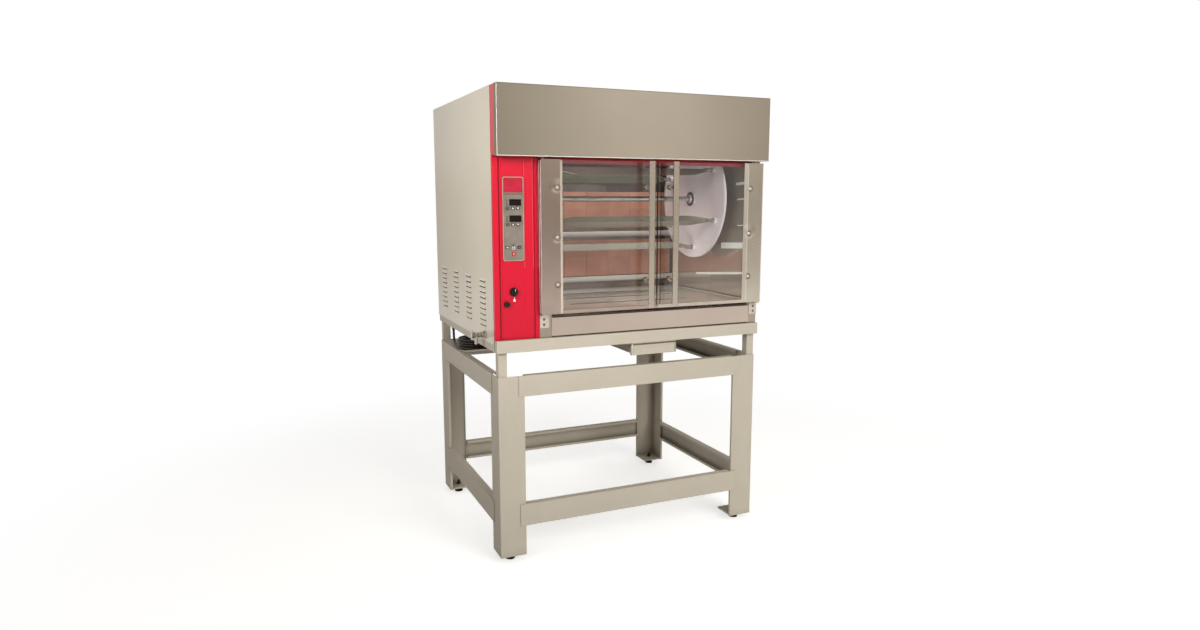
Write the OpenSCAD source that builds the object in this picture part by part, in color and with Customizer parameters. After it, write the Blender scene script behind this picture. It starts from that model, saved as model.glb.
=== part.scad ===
// Planetary chicken rotisserie on a tall open stand.
// The datum corner is the left face of the cabinet, the front face of the stand and the floor.

/* [Stand] */
// Distance of the stand's legs inside the cabinet's sides
stand_inset = 7.5; // [5:0.5:30]
// Depth over the stand's legs
stand_d = 990; // [800:5:990]
// Height of the top of the legs above the floor
stand_top = 799; // [600:1:900]
// Height of the levelling feet under the legs
foot_h = 28; // [22:1:45]
// Width of each flange of a leg
leg_w = 112; // [80:1:140]
// Sheet thickness of legs and rails
leg_t = 3; // [2:0.5:5]
// Depth of the lips on legs and rails
lip_d = 12; // [8:1:20]
// Height of the upper rails
top_rail_h = 87; // [60:1:120]
// Height of the lower rails
low_rail_h = 94; // [60:1:120]
// Height of the lower rails' top edge above the floor
low_rail_top = 250; // [180:1:400]
// How far a rail's web laps over a leg
rail_lap = 25; // [15:1:35]
// Depth of the rails' flanges
rail_flange = 32; // [24:1:45]
// Radius of a levelling foot
foot_r = 20; // [15:1:30]

/* [Base frame] */
// Height of the base frame
base_h = 50; // [40:1:70]
// Clear height between stand and base frame
riser_h = 101; // [80:1:160]
// Width of the side of a square riser post
riser_w = 36; // [30:1:45]
// Width of a base rail seen from above
base_rail_w = 60; // [50:1:62]
// Wall of the base rails and riser posts
tube_t = 3; // [2:0.5:5]

/* [Cabinet] */
// Width of the cabinet
cab_w = 1250; // [1250:5:1400]
// Height of the cabinet's side panels
cab_h = 1022; // [1000:1:1150]
// Distance of the side panels' front edge behind the stand's front
cab_front = 24; // [20:1:40]
// How far the cabinet's back stands behind the legs
rear_over = 8; // [8:1:40]
// How far the side panels hang over the base frame
side_lap = 20; // [10:1:30]
// Thickness of the outer sheets
skin_t = 1.5; // [1:0.5:2.5]
// Louvre columns in the left side panel
louvre_cols = 4; // [2:1:4]
// Louvres in one column
louvre_rows = 9; // [4:1:9]
// Length of one louvre
louvre_l = 84; // [40:1:110]
// Distance of the outer louvre columns from the panel's edges
louvre_margin = 150; // [120:1:200]
// Spacing of the louvres in a column
louvre_pitch_z = 23; // [18:1:24]

/* [Front] */
// Width of the red control column
column_w = 189; // [180:1:200]
// Distance of the column's face behind the stand's front
column_y = 5; // [4:0.5:6]
// Sheet thickness of the column and the red upper frame
front_t = 2; // [1.5:0.5:3]
// Height of the hood fascia
fascia_h = 273; // [200:1:300]
// How far the fascia stands ahead of the stand's front
fascia_out = 62; // [50:1:75]
// Depth of the fascia's side returns
fascia_return = 32; // [20:1:34]

/* [Doors] */
// Height of the doors' bottom edge above the base frame
door_sill = 100; // [96:1:110]
// Gap between the doors' top edge and the fascia
door_head = 7; // [5:1:12]
// Thickness of a door
door_t = 30; // [26:1:32]
// Gap between the two doors
door_split = 4; // [3:0.5:8]
// Width of a door stile's flat face
stile_w = 81; // [70:1:100]
// Thickness of the glass
glass_t = 6; // [5:1:8]
// Width of a handle bar
bar_w = 25; // [18:1:30]
// Thickness of a handle bar
bar_t = 8; // [5:1:10]
// Clear space between the glass and a handle bar
bar_gap = 52; // [40:1:60]
// Distance of a handle from the meeting edge of the doors
bar_inset = 55; // [40:1:70]
// Radius of a handle standoff
standoff_r = 8; // [6:0.5:10]
// Radius of the hinge pins
hinge_r = 4; // [3:0.5:5]

/* [Oven cavity] */
// Space between the oven cavity and the cabinet's right face
cavity_gap = 50; // [47:1:60]
// Depth of the oven cavity from the stand's front
cavity_d = 740; // [730:1:800]
// Thickness of the cavity sheets
liner_t = 2; // [1.5:0.5:3]
// Height of the cavity floor above the base frame
floor_up = 106; // [104:1:112]
// Height of the cavity ceiling above the base frame
ceiling_up = 905; // [880:1:940]
// Width of a refractory tile with its joint
tile_pitch = 121; // [100:1:122]
// Height of a row of tiles
tile_h = 180; // [120:1:200]
// Thickness of the tiles
tile_t = 28; // [20:1:34]
// Radius of a burner tube
burner_r = 13; // [8:1:16]

/* [Rotor] */
// Height of the rotor's axis above the base frame
axis_up = 565; // [560:1:575]
// Distance of the rotor's axis behind the stand's front
axis_y = 360; // [358:1:366]
// Radius of the rotor discs
disc_r = 282; // [270:1:290]
// Thickness of a rotor disc
disc_t = 3; // [2:0.5:5]
// Depth of a disc's rim
rim_d = 12; // [8:1:20]
// Distance of a disc from the cavity wall
disc_gap = 87; // [80:1:100]
// Radius of the rotor shaft
shaft_r = 12.5; // [10:0.5:14]
// Number of spits
spits = 6; // [6]
// Angle of the first spit above the front horizontal
first_spit = 35; // [30:1:40]
// Width of a spit's flange
spit_flange = 31; // [24:1:36]
// Thickness of a spit's flange
spit_t = 2.5; // [2:0.5:4]
// Length of a spit's tapered ends
spit_taper = 115; // [80:1:140]
// Radius of a spit's end pin
pin_r = 8; // [7:0.5:9]
// Radius of a spit's driven journal
journal_r = 10; // [9:0.5:12]
// Tooth size of the planet gears (pitch diameter over teeth)
gear_module = 4; // [3.9:0.05:4]
// Teeth of the fixed sun gear
sun_teeth = 84; // [84]
// Teeth of a planet gear
planet_teeth = 32; // [32]
// Width of the gears
gear_w = 16; // [12:1:20]
// Play left between meshing teeth
backlash = 0.5; // [0.3:0.1:0.8]

/* [Pan and tray] */
// Height of the drip pan's front panel
pan_h = 80; // [70:1:84]
// Depth of the drip pan's body
pan_d = 690; // [600:1:700]
// Height of the drip pan's sides
pan_side = 42; // [30:1:60]
// Width of the small drip tray's front
tray_w = 220; // [160:1:260]
// Height of the small drip tray's front
tray_h = 53; // [40:1:60]
// Length of the small drip tray
tray_d = 560; // [300:1:640]
// Sheet thickness of pan and tray
pan_t = 1.5; // [1:0.5:2.5]

/* [Controls] */
// Width of the control plate
plate_w = 87; // [84:1:90]
// Height of the control plate
plate_h = 332; // [300:1:360]
// Thickness of the control plate
plate_t = 2.5; // [2:0.5:3]
// Height of the plate's bottom edge above the base frame
plate_up = 320; // [300:1:340]
// Travel of a key
key_travel = 0.8; // [0.5:0.1:1.2]
// Radius of the selector knob
knob_r = 15; // [12:1:18]
// Height of the selector knob above the base frame
knob_up = 195; // [180:1:210]
// Radius of the push button
button_r = 11; // [8:1:13]
// Travel of the push button
button_travel = 4; // [2:0.5:6]
// Height of the push button above the base frame
button_up = 146; // [130:1:155]

/* [Drain tap] */
// Reach of the tap from the cabinet's left face
tap_reach = 62; // [58:1:80]
// Distance of the tap behind the stand's front
tap_y = 137; // [120:1:180]
// Radius of the tap's spout
spout_r = 7; // [6:0.5:9]

/* [Cord] */
// Diameter of the power cord
cord_d = 12; // [10:0.5:12]
// Radius of the coil's outer turn at the cord's middle
coil_r = 83; // [80:1:84]
// Spacing of the turns and of the layers
coil_pitch = 12.6; // [12.6:0.1:13]
// Layers in the coil
coil_layers = 4; // [4]
// Turns in the coil
coil_turns = 11.5; // [11.5]

/* [Hidden] */

cream = [0.80, 0.76, 0.68];
red = [0.86, 0.08, 0.16];
steel = [0.72, 0.69, 0.64];
dark_steel = [0.45, 0.44, 0.42];
black = [0.08, 0.08, 0.08];
terracotta = [0.72, 0.42, 0.33];

// Small clearances: a seat, a sliding or guided piece, a shaft in its bore
seat = 0.3;
guide = 0.4;
run = 0.05;

// Where the datum corner stands, so that the origin is centred under the part
glass_set = 8;
handle_out = door_t - glass_set + bar_gap + bar_t;
cab_rear = stand_d + rear_over;
datum_x = (tap_reach - cab_w) / 2;
datum_y = (handle_out - cab_rear) / 2;

stand_x = stand_inset;
stand_w = cab_w - 2 * stand_inset;
foot_plate = 8;
base_z = stand_top + riser_h;
base_top = base_z + base_h;
cab_top = base_top - side_lap + cab_h;
fascia_z = cab_top - fascia_h;
side_z0 = base_top - side_lap;
side_fold = 18;
top_fold = 20;
louvre_y0 = cab_front + louvre_margin;
louvre_pitch_y = (cab_rear - cab_front - 2 * louvre_margin) / (louvre_cols - 1);
louvre_z0 = base_top + 49;

// Fronts of the fixed frame, behind the doors
door_front = -door_t;
frame_y = 8;
door_z0 = base_top + door_sill;
door_z1 = fascia_z - door_head;
door_x0 = column_w;
door_x1 = cab_w - 3;
door_mid = (door_x0 + door_x1) / 2;
door_w = door_mid - door_x0 - door_split / 2;
glass_y = door_front + glass_set;
hinge_in = 14;
hinge_y = -14;
hinge_pin_l = 32;
shelf_t = 4;
head_z = fascia_z + 5;
standoff_up = [123, 514];
standoff_z = [for (up = standoff_up) door_z0 + up];
boss_up = [119, 311, 510];
bracket_w = 40;

wall_gap = 11;
cavity_x0 = column_w + wall_gap;
cavity_x1 = cab_w - cavity_gap;
cavity_w = cavity_x1 - cavity_x0;
cavity_mid = (cavity_x0 + cavity_x1) / 2;
floor_z = base_top + floor_up;
ceiling_z = base_top + ceiling_up;
tile_cols = floor((cavity_w - 10) / tile_pitch);
band_h = 64;
tile_up = 70;
tile_z0 = floor_z + tile_up;
burner_gap = 7;
burner_y = cavity_d - tile_t - burner_gap - burner_r;

axis_z = base_top + axis_up;
disc_left = cavity_x0 + disc_gap;
disc_right = cavity_x1 - disc_gap;
spit_r = gear_module * (sun_teeth + planet_teeth) / 2;
sun_gap = 13;
sun_x = cavity_x0 + sun_gap;
sun_turn = 180 - first_spit;
ridge_turn = -25;
ridge_out = 4;
hub_r = 28;
bearing_l = 20;
boss_l = 11;
wall_hole_r = 24;
spit_step = 360 / spits;

sill_l = 52;
sill_h = 97;
pan_play = 0.5;
pan_x0 = door_x0 + sill_l + pan_play;
pan_x1 = door_x1 - bracket_w - 2 * pan_play;
pan_overlap = 10;
pan_body_x0 = pan_x0 + pan_overlap;
pan_body_x1 = min(pan_x1, cavity_x1 + 6) - pan_overlap - 6;
runner_t = 5;
runner_w = 30;
tray_z1 = base_z - 3;
tray_flange_w = tray_w - 14;
tray_flange_z = tray_z1 - 8;

plate_x = 40;
plate_x1 = plate_x + plate_w;
plate_z = base_top + plate_up;
knob_x = plate_x + 42;
button_x = plate_x + 12;
field_y = column_y + 1.5;
key_w = 15;
key_h = 13;
tall_key_h = 28;
key_cols = [19.5, 42, 63.5];
key_rows = [208.6, 144.7];
low_key_cols = [17, 42, 66.5];
low_key_row = 54;

gland_x = 40;
gland_in = 138;
gland_y = cab_rear - gland_in;
gland_l = 32;
gland_end = [gland_x, gland_y, base_z - gland_l];
coil_x = 105;
coil_ahead = 160;
coil_y = gland_y - coil_ahead;
rack_t = 2;
rack_w = 210;
rack_ahead = 110;
rack_behind = 235;
rack_z = stand_top + rack_t;
coil_z0 = rack_z + cord_d / 2 + seat;
coil_z1 = coil_z0 + (coil_layers - 1) * coil_pitch;
plug_r = 22;
plug_l = 70;
plug_y = coil_y + 84;
plug_z = rack_z + plug_r + seat;
coil_end_x = coil_x + coil_r;
coil_end_y = coil_y + cord_d;
coil_start = [coil_x - coil_r, coil_end_y, coil_z0];
coil_finish = [coil_end_x, coil_end_y, coil_z1];
rings_per_turn = 24;
layer_turns = coil_turns / coil_layers;

tap_z = base_top + 8;
spout_x = -42;
spout_drop = 38;
spout_bore = spout_r - 2;
barrel_end = 50;
spindle_r = 4;

// Places everything from the datum corner
module at_datum() {
    translate([datum_x, datum_y, 0]) children();
}

// A block between two corners
module block(low, high) {
    translate(low) cube([high[0] - low[0], high[1] - low[1], high[2] - low[2]]);
}

// A profile drawn in Y and Z, run along X
module along_x(x, len) {
    translate([x, 0, 0]) rotate([90, 0, 90]) linear_extrude(len) children();
}

// A round bar along X
module bar_x(x, len, r, y, z) {
    translate([x, y, z]) rotate([0, 90, 0]) cylinder(r = r, h = len, $fn = 48);
}

// A round bar along Y
module bar_y(y, len, r, x, z) {
    translate([x, y, z]) rotate([-90, 0, 0]) cylinder(r = r, h = len, $fn = 48);
}

// A square with round corners
module round_rect(w, h, r) {
    hull() for (x = [r, w - r], z = [r, h - r]) translate([x, z]) circle(r = r, $fn = 32);
}

// An L section with lips and a foot plate: the front left leg
module leg_shape() {
    difference() {
        union() {
            translate([0, 0, foot_h]) linear_extrude(stand_top - foot_h) {
                square([leg_w, leg_t]);
                square([leg_t, leg_w]);
                translate([leg_w - leg_t, 0]) square([leg_t, lip_d]);
                translate([0, leg_w - leg_t]) square([lip_d, leg_t]);
            }
            block([leg_t / 2, leg_t / 2, foot_h], [leg_w - leg_t, leg_w - leg_t, foot_h + foot_plate]);
        }
        translate([leg_w / 2, leg_w / 2, foot_h - 1]) cylinder(r = 6.5, h = foot_plate + 2, $fn = 32);
    }
}

// Repeats a front left corner piece at the stand's four corners
module at_corners() {
    translate([stand_x, 0, 0]) children();
    translate([stand_x + stand_w, 0, 0]) mirror([1, 0, 0]) children();
    translate([stand_x, stand_d, 0]) mirror([0, 1, 0]) children();
    translate([stand_x + stand_w, stand_d, 0]) mirror([1, 0, 0]) mirror([0, 1, 0]) children();
}

module legs() {
    color(cream) at_datum() at_corners() leg_shape();
}

// A channel whose web laps over the legs, running along X with its web's face at y = -leg_t
module rail_shape(span, z0, h) {
    flange_gap = 2;
    web_x0 = leg_w - rail_lap;
    block([web_x0, -leg_t, z0], [span - web_x0, 0, z0 + h]);
    in0 = leg_w + flange_gap;
    translate([in0, 0, z0]) rotate([90, 0, 90]) linear_extrude(span - 2 * in0) {
        translate([-leg_t, 0]) square([rail_flange, leg_t]);
        translate([-leg_t, h - leg_t]) square([rail_flange, leg_t]);
        translate([rail_flange - 2 * leg_t, 0]) square([leg_t, lip_d]);
        translate([rail_flange - 2 * leg_t, h - lip_d]) square([leg_t, lip_d]);
    }
}

// Four rails round the stand at one height
module rail_ring(z0, h) {
    translate([stand_x, 0, 0]) rail_shape(stand_w, z0, h);
    translate([stand_x, stand_d, 0]) mirror([0, 1, 0]) rail_shape(stand_w, z0, h);
    translate([stand_x, 0, 0]) mirror([1, 0, 0]) rotate(90) rail_shape(stand_d, z0, h);
    translate([stand_x + stand_w, 0, 0]) rotate(90) rail_shape(stand_d, z0, h);
}

module top_rails() {
    color(cream) at_datum() rail_ring(stand_top - top_rail_h, top_rail_h);
}

module lower_rails() {
    color(cream) at_datum() rail_ring(low_rail_top - low_rail_h, low_rail_h);
}

// Round pad, stem and two nuts that clamp the leg's foot plate
module levelling_feet() {
    stem_r = 6;
    nut_r = 11;
    nut_h = 8;
    color(black) at_datum() at_corners() translate([leg_w / 2, leg_w / 2, 0]) {
        cylinder(r = foot_r, h = 6, $fn = 48);
        translate([0, 0, 6]) cylinder(r1 = foot_r, r2 = nut_r, h = 5, $fn = 48);
        cylinder(r = stem_r, h = foot_h + foot_plate + nut_h + 14, $fn = 32);
        translate([0, 0, foot_h - nut_h]) cylinder(r = nut_r, h = nut_h, $fn = 6);
        translate([0, 0, foot_h + foot_plate]) cylinder(r = nut_r, h = nut_h, $fn = 6);
    }
}

// A square tube along Y
module tube_y(x, y, w, len, z, h) {
    difference() {
        block([x, y, z], [x + w, y + len, z + h]);
        block([x + tube_t, y - 1, z + tube_t], [x + w - tube_t, y + len + 1, z + h - tube_t]);
    }
}

// Welded tubes under the cabinet, on four posts that stand inside the legs' corners
module base_frame() {
    frame_front = -14;
    frame_depth = cab_rear - 12 - frame_front;
    post_down = 60;
    color(cream) at_datum() {
        for (y = [frame_front, frame_front + frame_depth - base_rail_w])
            difference() {
                block([skin_t, y, base_z], [cab_w - skin_t, y + base_rail_w, base_top]);
                block([skin_t - 1, y + tube_t, base_z + tube_t],
                    [cab_w, y + base_rail_w - tube_t, base_top - tube_t]);
            }
        for (x = [skin_t, cab_w - skin_t - base_rail_w])
            tube_y(x, frame_front + base_rail_w + seat, base_rail_w,
                frame_depth - 2 * base_rail_w - 2 * seat, base_z, base_h);
        at_corners() difference() {
            block([leg_t, leg_t, stand_top - post_down], [leg_t + riser_w, leg_t + riser_w, base_z - seat]);
            block([leg_t + tube_t, leg_t + tube_t, stand_top - post_down - 1],
                [leg_t + riser_w - tube_t, leg_t + riser_w - tube_t, base_z - seat - tube_t]);
        }
    }
}

// One louvre: a slot under a small raised hood that opens downwards
module louvre_hood(y, z) {
    hood_d = 3;
    hood_h = 8;
    translate([0, y + louvre_l / 2, z]) rotate([90, 0, 0]) linear_extrude(louvre_l)
        polygon([[skin_t / 2, hood_h / 2], [0, hood_h / 2], [-hood_d, -hood_h / 2],
            [1 - hood_d, -hood_h / 2], [skin_t / 2, hood_h / 2 - 1.5]]);
}

module side_panel_left() {
    color(cream) at_datum() {
        difference() {
            union() {
                block([0, cab_front, side_z0], [skin_t, cab_rear, cab_top]);
                for (c = [0 : louvre_cols - 1], r = [0 : louvre_rows - 1])
                    louvre_hood(louvre_y0 + c * louvre_pitch_y, louvre_z0 + r * louvre_pitch_z);
            }
            for (c = [0 : louvre_cols - 1], r = [0 : louvre_rows - 1]) {
                y = louvre_y0 + c * louvre_pitch_y;
                z = louvre_z0 + r * louvre_pitch_z;
                block([-0.01, y - louvre_l / 2 + 2, z - 4], [skin_t + 1, y + louvre_l / 2 - 2, z]);
            }
        }
        block([skin_t / 2, cab_rear - skin_t, base_top], [side_fold, cab_rear, cab_top]);
        block([skin_t / 2, cab_front, base_top],
            [side_fold, cab_front + skin_t, cab_top - top_fold - 1]);
    }
}

module side_panel_right() {
    fold_y = cab_front + 18;
    color(cream) at_datum() {
        block([cab_w - skin_t, cab_front, side_z0], [cab_w, cab_rear, cab_top]);
        block([cab_w - side_fold, cab_rear - skin_t, base_top], [cab_w - skin_t / 2, cab_rear, cab_top]);
        block([cab_w - side_fold, fold_y, base_top],
            [cab_w - skin_t / 2, fold_y + skin_t, cab_top - top_fold - 1]);
    }
}

// Back sheet with folded edges and rows of vent slots over the burner space
module back_panel() {
    slots = 8;
    slot_pitch = 130;
    slot_l = 90;
    y1 = cab_rear - skin_t;
    color(cream) at_datum() difference() {
        union() {
            block([skin_t, y1 - skin_t, base_top], [cab_w - skin_t, y1, cab_top - skin_t]);
            block([skin_t, y1 - 20, base_top], [cab_w - skin_t, y1 - skin_t / 2, base_top + skin_t]);
        }
        for (s = [0 : slots - 1], z = [cab_top - 150, cab_top - 120, cab_top - 90])
            block([cab_w / 2 + (s - slots / 2 + 0.5) * slot_pitch - slot_l / 2, y1 - 5, z],
                [cab_w / 2 + (s - slots / 2 + 0.5) * slot_pitch + slot_l / 2, y1 + 1, z + 8]);
    }
}

// Top sheet with a row of flue slots near the back
module top_panel() {
    slots = 10;
    slot_pitch = 40;
    slot_l = 160;
    color(cream) at_datum() {
        difference() {
            block([skin_t, cab_front, cab_top - skin_t], [cab_w - skin_t, cab_rear - skin_t, cab_top]);
            for (s = [0 : slots - 1])
                block([cab_w / 2 + (s - slots / 2 + 0.5) * slot_pitch - 8, cab_rear - 120 - slot_l, cab_top - 5],
                    [cab_w / 2 + (s - slots / 2 + 0.5) * slot_pitch + 8, cab_rear - 120, cab_top + 1]);
        }
        block([skin_t, cab_front, cab_top - top_fold], [cab_w - skin_t, cab_front + skin_t, cab_top - skin_t / 2]);
    }
}

// Wall of the cavity between the rotor and the drive, with a hole for the shaft
module cavity_wall(x, jamb_x0, jamb_x1) {
    difference() {
        union() {
            block([x, frame_y + 2, base_top], [x + liner_t, cavity_d + 20, ceiling_z]);
            block([jamb_x0, frame_y, door_z0], [jamb_x1, frame_y + liner_t + 0.01, head_z]);
        }
        block([jamb_x0 - 1, frame_y - 1, head_z - seat], [jamb_x1 + 1, cab_front, ceiling_z + 1]);
        bar_x(x - 1, liner_t + 2, wall_hole_r, axis_y, axis_z);
    }
}

module cavity_left_wall() {
    color(steel) at_datum() cavity_wall(cavity_x0 - liner_t, column_w + seat, cavity_x0);
}

module cavity_right_wall() {
    color(steel) at_datum() cavity_wall(cavity_x1, cavity_x1, cavity_x1 + liner_t + 0.5);
}

module cavity_ceiling() {
    color(steel) at_datum() difference() {
        block([cavity_x0 - liner_t, cab_front, ceiling_z],
            [cavity_x1 + liner_t, cavity_d + 20, ceiling_z + liner_t]);
        translate([cavity_mid, cavity_d - 120, ceiling_z - 1]) cylinder(r = 55, h = liner_t + 2, $fn = 64);
    }
}

// Folded floor with drain slots over the drip pan
module cavity_floor() {
    lip_h = 6;
    slot_l = 600;
    slot_w = 40;
    slot_pitch = 180;
    color(steel) at_datum() difference() {
        union() {
            block([cavity_x0 + seat, frame_y + 2, floor_z - liner_t], [cavity_x1 - seat, cavity_d, floor_z]);
            block([cavity_x0 + seat, frame_y + 2, floor_z - 12],
                [cavity_x1 - seat, frame_y + 2 + liner_t, floor_z]);
            for (x = [cavity_x0 + seat, cavity_x1 - seat - liner_t])
                block([x, frame_y + 2, floor_z - 12], [x + liner_t, cavity_d, floor_z + lip_h]);
        }
        for (n = [1 : 3])
            block([cavity_mid - slot_l / 2, n * slot_pitch, floor_z - liner_t - 1],
                [cavity_mid + slot_l / 2, n * slot_pitch + slot_w, floor_z + 1]);
    }
}

// Rear lining with a raised band between the two rows of tiles
module cavity_back_wall() {
    band_z = tile_z0 + tile_h;
    ledge_h = 22;
    trim_h = 6;
    color(steel) at_datum() {
        block([cavity_x0 + seat, cavity_d, floor_z - 12], [cavity_x1 - seat, cavity_d + liner_t, ceiling_z]);
        for (range = [[tile_z0 - ledge_h, tile_z0], [band_z, band_z + band_h],
                [band_z + band_h + tile_h, band_z + band_h + tile_h + trim_h]])
            block([cavity_x0 + seat, cavity_d - tile_t, range[0]],
                [cavity_x1 - seat, cavity_d + liner_t / 2, range[1]]);
    }
}

// Two rows of tiles, each cut into squares by shallow joints
module tile_row(z) {
    joint = 2;
    joint_d = 3;
    w = tile_cols * tile_pitch;
    x0 = cavity_mid - w / 2;
    difference() {
        block([x0, cavity_d - tile_t, z], [x0 + w, cavity_d, z + tile_h]);
        for (c = [1 : tile_cols - 1])
            block([x0 + c * tile_pitch - joint / 2, cavity_d - tile_t - 1, z - 1],
                [x0 + c * tile_pitch + joint / 2, cavity_d - tile_t + joint_d, z + tile_h + 1]);
    }
}

module refractory_tiles() {
    color(terracotta) at_datum() {
        tile_row(tile_z0);
        tile_row(tile_z0 + tile_h + band_h);
    }
}

// Burner tubes under each row of tiles, plugged into the cavity's side walls
module burner_tubes() {
    bracket_w = 20;
    color(steel) at_datum() for (z = [tile_z0 - 16, tile_z0 + tile_h + band_h / 2]) {
        bar_x(cavity_x0 + seat, cavity_w - 2 * seat, burner_r, burner_y, z);
        for (x = [cavity_x0 + 120, cavity_mid, cavity_x1 - 120])
            block([x - bracket_w / 2, burner_y, z - 3], [x + bracket_w / 2, cavity_d - tile_t, z + 3]);
    }
}

// Outer line of the control column's folded front, from its left edge to its right edge
function column_line() = [
    [0, cab_front - seat], [0, column_y], [22, column_y], [24, column_y + 4], [plate_x - 6, column_y + 4],
    [plate_x - 3, field_y], [plate_x1 + 1, field_y], [plate_x1 + 9, column_y - 2],
    [column_w - 23, column_y - 2], [column_w - 21, column_y], [column_w - 18, column_y],
    [column_w - 16, column_y - 3], [column_w - 1, column_y - 3], [column_w - 1, 40]];

// The same line moved in by the sheet's thickness
function column_inner() = [for (p = column_line())
    [p[0] < 1 ? front_t : p[0] > column_w - 2 ? column_w - 1 - front_t : p[0],
     p[1] > 20 ? p[1] : p[1] + front_t]];

module control_column() {
    color(red) at_datum() {
        difference() {
            union() {
                translate([0, 0, base_top]) linear_extrude(head_z - base_top)
                    polygon(concat(column_line(), [for (i = [len(column_line()) - 1 : -1 : 0]) column_inner()[i]]));
                block([0, column_y - 1, head_z - 0.01], [column_w - 1, cab_front - seat, head_z + front_t]);
            }
            block([plate_x + 4, -5, plate_z + 30], [plate_x1 - 4, 20, plate_z + plate_h - 40]);
            bar_y(-5, 30, hinge_r + run, knob_x, base_top + knob_up);
            bar_y(-5, 30, button_r - 2, button_x, base_top + button_up);
        }
        hood_box(0, column_w - 1);
    }
}

// The red upper frame behind the fascia, a box between two X positions
module hood_box(x0, x1) {
    y0 = fascia_return - fascia_out;
    difference() {
        block([x0, y0, head_z], [x1, cab_front - seat, cab_top - skin_t]);
        block([x0 + front_t, y0 + front_t, head_z + front_t],
            [x1 - front_t, cab_front + 1, cab_top - skin_t - front_t]);
    }
}

// Red rail over the doors, with the lip that shows through the glass
module cross_rail() {
    lip_down = 20;
    lip_t = 1.2;
    color(red) at_datum() {
        hood_box(column_w - 1 + seat, cab_w);
        block([column_w + seat, frame_y - seat - lip_t, head_z - lip_down - door_head],
            [cab_w - 40, frame_y - seat, head_z + front_t]);
    }
}

// Right post behind the door and the two blocks beside the drip pan
module front_posts() {
    post_x0 = cavity_x1 + liner_t + 1;
    post_x1 = cab_w - skin_t - seat;
    post_d = 32;
    sill_y = 2;
    color(steel) at_datum() {
        difference() {
            block([post_x0, frame_y, base_top], [post_x1, frame_y + post_d, head_z]);
            block([post_x0 + liner_t, frame_y + liner_t, base_top - 1],
                [post_x1 - liner_t, frame_y + post_d + 1, head_z + 1]);
        }
        block([door_x0 + seat, sill_y, base_top], [door_x0 + sill_l, frame_y, base_top + sill_h]);
        block([pan_x1 + pan_play, sill_y, base_top], [door_x1, frame_y, base_top + sill_h]);
    }
}

// Folded stainless front with side returns and rolled edges
module hood_fascia() {
    t = skin_t;
    roll = 3;
    y0 = -fascia_out;
    color(steel) at_datum() {
        block([0, y0, fascia_z + roll / 2], [cab_w, y0 + t, cab_top]);
        for (x = [0, cab_w - t])
            block([x, y0 + 0.01, fascia_z + roll / 2], [x + t, y0 + fascia_return, cab_top]);
        block([0, y0 + 0.01, cab_top - t], [cab_w, y0 + fascia_return, cab_top]);
        difference() {
            block([0, y0, fascia_z], [cab_w, y0 + 14, fascia_z + roll]);
            block([roll, y0 + roll, fascia_z + roll / 2], [cab_w - roll, y0 + 20, fascia_z + roll + 1]);
        }
    }
}

// Key positions on the plate: two rows of three, then a low row with a tall key in the middle
function key_place(k) = k < 6
    ? [plate_x + key_cols[k % 3], plate_z + key_rows[floor(k / 3)]]
    : [plate_x + low_key_cols[k - 6], plate_z + low_key_row];
function key_size(k) = [key_w, k == 7 ? tall_key_h : key_h];

module control_plate() {
    y1 = field_y - plate_t;
    fit = 0.35;
    color(steel) at_datum() difference() {
        translate([plate_x, field_y, plate_z]) rotate([90, 0, 0]) linear_extrude(plate_t)
            round_rect(plate_w, plate_h, 8);
        for (k = [0 : 8]) {
            p = key_place(k);
            s = key_size(k);
            block([p[0] - s[0] / 2 - fit, y1 - 1, p[1] - s[1] / 2 - fit],
                [p[0] + s[0] / 2 + fit, field_y + 1, p[1] + s[1] / 2 + fit]);
        }
        for (z = [key_rows[0] + 11, key_rows[1] + 11])
            block([plate_x + 28, y1 - 1, plate_z + z], [plate_x + 76, y1 + 0.6, plate_z + z + 24]);
    }
}

// A key: a cap through the plate and a flange behind it that keeps it in
module key(k) {
    p = key_place(k);
    s = key_size(k);
    proud = 0.7;
    flange = 1.2;
    y1 = field_y - plate_t;
    color(dark_steel) at_datum() {
        block([p[0] - s[0] / 2, y1 - proud, p[1] - s[1] / 2],
            [p[0] + s[0] / 2, field_y + 0.5, p[1] + s[1] / 2]);
        block([p[0] - s[0] / 2 - flange, field_y + 0.2, p[1] - s[1] / 2 - flange],
            [p[0] + s[0] / 2 + flange, field_y + 1.4, p[1] + s[1] / 2 + flange]);
    }
}

module key_1() { key(0); }
module key_2() { key(1); }
module key_3() { key(2); }
module key_4() { key(3); }
module key_5() { key(4); }
module key_6() { key(5); }
module key_7() { key(6); }
module key_8() { key(7); }
module key_9() { key(8); }

// Rotary switch knob with a skirt, a grip and a shaft through the column
module selector_knob() {
    skirt = 4;
    color(black) at_datum() translate([knob_x, field_y - seat, base_top + knob_up]) rotate([90, 0, 0]) {
        cylinder(r = knob_r + 2, h = skirt, $fn = 64);
        translate([0, 0, skirt]) cylinder(r = knob_r, h = 8, $fn = 64);
        translate([-4, -knob_r, skirt]) cube([8, 2 * knob_r, 15]);
        translate([0, 0, -22]) cylinder(r = hinge_r, h = 24, $fn = 48);
        translate([0, 0, -22]) cylinder(r = hinge_r + 5, h = 14, $fn = 48);
    }
}

module push_button() {
    cap_h = 8;
    color(black) at_datum() translate([button_x, 0, base_top + button_up]) rotate([90, 0, 0])
        translate([0, 0, -field_y]) {
            translate([0, 0, button_travel + seat]) cylinder(r = button_r, h = cap_h, $fn = 64);
            translate([0, 0, -12]) cylinder(r = button_r - 2 - run, h = 16 + button_travel, $fn = 48);
            translate([0, 0, -12]) cylinder(r = button_r + 1, h = 12 - front_t - seat, $fn = 48);
        }
}

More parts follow.
